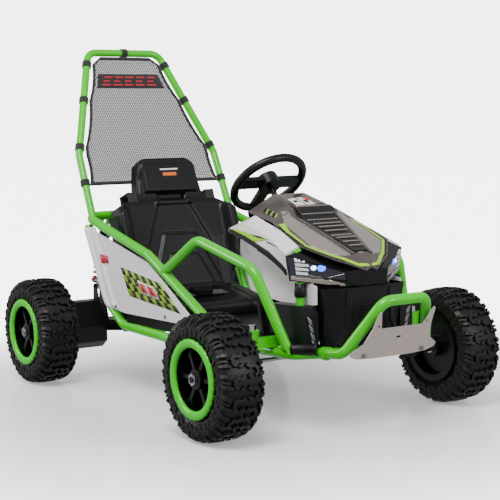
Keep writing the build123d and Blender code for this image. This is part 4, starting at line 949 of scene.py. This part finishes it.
def glow(name, colour, core, strength):
    """A lit lamp's face: bright in the middle of its colour, with a faint cloudiness."""
    material, tree, out = new_material(name)
    place = node(tree, "TexCoord").outputs["Object"]
    cloud = node(tree, "TexNoise", {"Vector": place, "Scale": 1 / (6 * MM)})
    tint = node(tree, "Mix", {0: cloud.outputs[0], 6: linear(colour), 7: linear(core)}, data_type="RGBA")
    body = node(tree, "BsdfPrincipled", {"Base Color": tint.outputs[2], "Emission Color": tint.outputs[2],
                                         "Emission Strength": strength, "Roughness": 0.2})
    tree.links.new(body.outputs[0], out.inputs[0])
    return material


led_white = glow("white_led", "#7FC0FF", "#C8E6FF", 5.0)
led_blue = glow("blue_led", "#0B4DFF", "#1C7BFF", 3.5)


def disc(u, v, radius, count=16):
    return [(u + radius * math.cos(math.tau * i / count), v + radius * math.sin(math.tau * i / count))
            for i in range(count)]


lens_tree = tree_of("lamp_lenses")
bars = [[(163 - 1.5 * i, 414 - 10 * i), (136, 411 - 10 * i), (133, 405 - 10 * i),
         (161 - 1.5 * i, 407 - 10 * i)] for i in range(4)]
trim("lamp_bars", "front", [[(s * u, v) for u, v in o] for s in (-1, 1) for o in bars], lens_tree,
     white_ink, 2.2, 3.0, 0.8)
trim("led_faces", "front", [disc(s * 125, 392, 5.5) for s in (-1, 1)], lens_tree,
     led_white, 1.6, 2.0)
trim("led_halos", "front", [disc(s * 110, 391, 8.0) for s in (-1, 1)], lens_tree,
     led_blue, 1.2, 2.0)
edge_lines = [stripe([(s * 132, 374), (s * 101, 367), (s * 66, 377)], [1.6, 1.6, 1.6]) for s in (-1, 1)]
trim("lens_edge_lines", "front", edge_lines[0] + edge_lines[1], lens_tree, pale_grey_abs, 1.0, 3.0)
chin = [[(s * 167, 380), (s * 165, 364), (s * 62, 346), (s * 66, 354), (s * 98, 365)] for s in (-1, 1)]
trim("lamp_chins", "front", chin, ["lamp_shells"], pale_grey_abs, 1.6, 3.0, 0.6)
nose_tree = tree_of("lamp_shells")
nose_hits = [nose_tree.ray_cast(*seen_from("front", y, z))[0]
             for y in (-26, -18, 18, 26) for z in (356, 366, 376)]
nose_x = max((hit.x for hit in nose_hits if hit is not None), default=at(110, 0, 0).x)
bridge_bm = bmesh.new()
block(bridge_bm, Vector((nose_x - 14 * MM, -16 * MM, 344 * MM)),
      Vector((nose_x + 1.2 * MM, 16 * MM, 392 * MM)))
piece("nose_bridge", bridge_bm, gloss_black, "chassis", bevel=2.0)
shelf_bm = bmesh.new()
block(shelf_bm, at(30, -92, 332), at(92, 92, 356))
piece("nose_shelf", shelf_bm, cover_pp, "chassis", bevel=3.0)
print("nose bridge ahead of the axle by", round((nose_x - FRONT_AXLE_X) / MM, 1), "mm")
print("lamps dressed")

# %% [markdown]
# ## Nose
# The black fascia between the lamps and the bumper has a mesh of six-sided cells. One cell is a circle
# of six points with its middle taken out by an inset, and the cells are dropped onto the fascia's face.
# The foot boxes have four grey slashes on their fronts.

# %% Grille mesh and slashes
CELL = 9.0
grille_bm = bmesh.new()
fascia_tree = tree_of("fascia")
for j in range(9):
    for i in range(-7, 8):
        u, v = (i + 0.5 * (j % 2)) * CELL * 1.05, 232 + j * CELL * 0.91
        if abs(u) > 48 + (v - 232) * 0.08:
            continue
        cell = bmesh.new()
        bmesh.ops.create_circle(cell, cap_ends=True, segments=6, radius=CELL * 0.58,
                                matrix=Matrix.Translation((u, v, 0)) @ Matrix.Rotation(math.pi / 6, 4, "Z"))
        bmesh.ops.inset_region(cell, faces=cell.faces, thickness=1.3, use_boundary=True, use_even_offset=True)
        bmesh.ops.delete(cell, geom=[f for f in cell.faces if len(f.verts) == 6], context="FACES_ONLY")
        for vert in cell.verts:
            start, ray = seen_from("front", vert.co.x, vert.co.y)
            hit, normal, _, _ = fascia_tree.ray_cast(start, ray)
            vert.co = (hit or at(120, vert.co.x, vert.co.y)) + Vector((1.6 * MM, 0, 0))
        mesh = bpy.data.meshes.new("part")
        cell.to_mesh(mesh)
        cell.free()
        grille_bm.from_mesh(mesh)
        bpy.data.meshes.remove(mesh)
piece("fascia_mesh", outwards(grille_bm), cover_pp, "chassis", wall=1.5)
pillars = [stripe([(s * 88, 222), (s * 66, 262), (s * 62, 338)], [12, 12, 14]) for s in (-1, 1)]
trim("fascia_pillars", "front", pillars[0] + pillars[1], fascia_tree, cover_pp, 3.0, 4.0, 1.0)
lip = stripe([(-92, 217), (-60, 212), (60, 212), (92, 217)], [10, 12, 12, 10])
trim("fascia_lip", "front", lip, fascia_tree, gloss_black, 4.0, 5.0, 1.4)
slashes = [[(s * (158 - 4 * i), 282 - 19 * i), (s * (146 - 4 * i), 272 - 19 * i),
            (s * (142 - 4 * i), 256 - 19 * i), (s * (154 - 4 * i), 266 - 19 * i)]
           for s in (-1, 1) for i in range(4)]
trim("foot_box_slashes", "front", slashes, ["foot_boxes"], slash_grey, 0.8, 8.0)
print("nose dressed")

# %% [markdown]
# Smaller fittings finish the kart: black sleeves on the hood posts and on the rails beside the foot
# boxes. A sleeve is a profile spun about the axis of its tube, with a bead at each end.

# %% Post and rail sleeves
for side, s in (("left", 1), ("right", -1)):
    foot = at(50, s * 145, 0)
    sleeve_bm = bmesh.new()
    ring = [(12.2, 322), (14.5, 324), (14.5, 338), (13.2, 341), (13.2, 356)]
    verts = [sleeve_bm.verts.new(foot + Vector((radius, 0, z)) * MM) for radius, z in ring]
    edges = [sleeve_bm.edges.new(pair) for pair in zip(verts, verts[1:])]
    bmesh.ops.spin(sleeve_bm, geom=verts + edges, cent=foot, axis=(0, 0, 1), angle=math.tau, steps=32,
                   use_merge=True)
    piece("post_sleeve_" + side, outwards(sleeve_bm), cover_pp, "chassis", wall=1.0)
for side, s in (("left", 1), ("right", -1)):
    rear_end, front_end = at(62, s * 181, 202), at(118, s * 144, 206)
    run = front_end - rear_end
    long = run.length / MM
    grip_bm = bmesh.new()
    grip = [(0, 12.8), (1.5, 14.6), (6, 14.9), (8, 14.1), (long - 8, 14.1), (long - 6, 14.9),
            (long - 1.5, 14.6), (long, 12.8)]
    verts = [grip_bm.verts.new(Vector((radius, 0, along)) * MM) for along, radius in grip]
    edges = [grip_bm.edges.new(pair) for pair in zip(verts, verts[1:])]
    bmesh.ops.spin(grip_bm, geom=verts + edges, cent=(0, 0, 0), axis=(0, 0, 1), angle=math.tau, steps=32,
                   use_merge=True)
    turned = Matrix.Translation(rear_end) @ run.to_track_quat("Z", "Y").to_matrix().to_4x4()
    bmesh.ops.transform(grip_bm, matrix=turned, verts=grip_bm.verts)
    piece("rail_sleeve_" + side, outwards(grip_bm), cover_pp, "chassis")
print("fittings ready")

# %% [markdown]
# ## Studio
# A pale floor that glows brighter away from the kart, a lit paper backdrop all round, and three large
# soft lamps: one high in front, one from the right and a low fill. The floor's glow is weak under and
# round the kart, a grey zone of painted shade there, and strong further out. The backdrop and the glow
# are only seen, they light nothing, so blacks stay black. Big lamps give soft shadows and long highlights.

# %% Floor, light and world
floor_bm = bmesh.new()
bmesh.ops.create_grid(floor_bm, x_segments=1, y_segments=1, size=20.0)
floor_mesh = bpy.data.meshes.new("studio_floor")
floor_bm.to_mesh(floor_mesh)
floor_bm.free()
floor = bpy.data.objects.new("studio_floor", floor_mesh)
bpy.context.scene.collection.objects.link(floor)
floor_paint, floor_tree, floor_out = new_material("studio_floor_paint")
floor_place = node(floor_tree, "TexCoord").outputs["Object"]
floor_cloud = node(floor_tree, "TexNoise", {"Vector": floor_place, "Scale": 1.5})
floor_gloss = node(floor_tree, "MapRange", {0: floor_cloud.outputs[0], 3: 0.14, 4: 0.2})
# Emission grows twentyfold from 0.5 m to 1.5 m from the floor's middle: painted shade under and round the
# kart, painted light beyond.
floor_spot = node(floor_tree, "VectorMath", {0: floor_place}, operation="LENGTH")
floor_fade = node(floor_tree, "MapRange", {0: floor_spot.outputs["Value"], 1: 0.5, 2: 1.5}, clamp=True)
floor_glow = node(floor_tree, "Math", {0: 20.0, 1: floor_fade.outputs[0]}, operation="POWER")
floor_painted_light_and_shade = node(floor_tree, "Math", {0: floor_glow.outputs[0], 1: 0.25}, operation="MULTIPLY")
floor_body = node(floor_tree, "BsdfPrincipled", {"Base Color": linear("#F7F6F7"),
                                                 "Roughness": floor_gloss.outputs[0],
                                                 "Emission Color": (1.0, 1.0, 1.0, 1.0),
                                                 "Emission Strength": floor_painted_light_and_shade.outputs[0]})
floor_tree.links.new(floor_body.outputs[0], floor_out.inputs[0])
floor_mesh.materials.append(floor_paint)
floor.visible_diffuse = floor.visible_glossy = False

dome_bm = bmesh.new()
bmesh.ops.create_uvsphere(dome_bm, u_segments=48, v_segments=24, radius=18.0)
bmesh.ops.reverse_faces(dome_bm, faces=dome_bm.faces)
dome_mesh = bpy.data.meshes.new("studio_backdrop")
dome_bm.to_mesh(dome_mesh)
dome_bm.free()
dome = bpy.data.objects.new("studio_backdrop", dome_mesh)
bpy.context.scene.collection.objects.link(dome)
dome_paint, dome_tree, dome_out = new_material("lit_white_paper")
dome_light = node(dome_tree, "Emission", {0: (1.0, 1.0, 1.0, 1.0), 1: 5.0})
dome_tree.links.new(dome_light.outputs[0], dome_out.inputs[0])
dome_mesh.materials.append(dome_paint)
dome.visible_diffuse = dome.visible_glossy = dome.visible_shadow = False

world = bpy.data.worlds.new("studio_world")
bpy.context.scene.world = world
world.use_nodes = True
world.node_tree.nodes["Background"].inputs[0].default_value = (1.0, 1.0, 1.0, 1.0)
world.node_tree.nodes["Background"].inputs[1].default_value = 0.55


def soft_lamp(name, place, target, size, power):
    """A square area lamp that faces a point."""
    data = bpy.data.lights.new(name, "AREA")
    data.size, data.energy = size, power
    lamp = bpy.data.objects.new(name, data)
    bpy.context.scene.collection.objects.link(lamp)
    way = Vector(target) - Vector(place)
    lamp.matrix_world = Matrix.Translation(place) @ way.to_track_quat("-Z", "Y").to_matrix().to_4x4()


middle = (0, 0, 0.4)
soft_lamp("key_lamp", (1.4, -1.6, 3.2), middle, 1.6, 130)
soft_lamp("side_lamp", (-1.8, -2.6, 1.6), middle, 1.2, 45)
soft_lamp("nose_lamp", (3.2, 1.2, 1.4), middle, 1.2, 45)
print("studio ready")
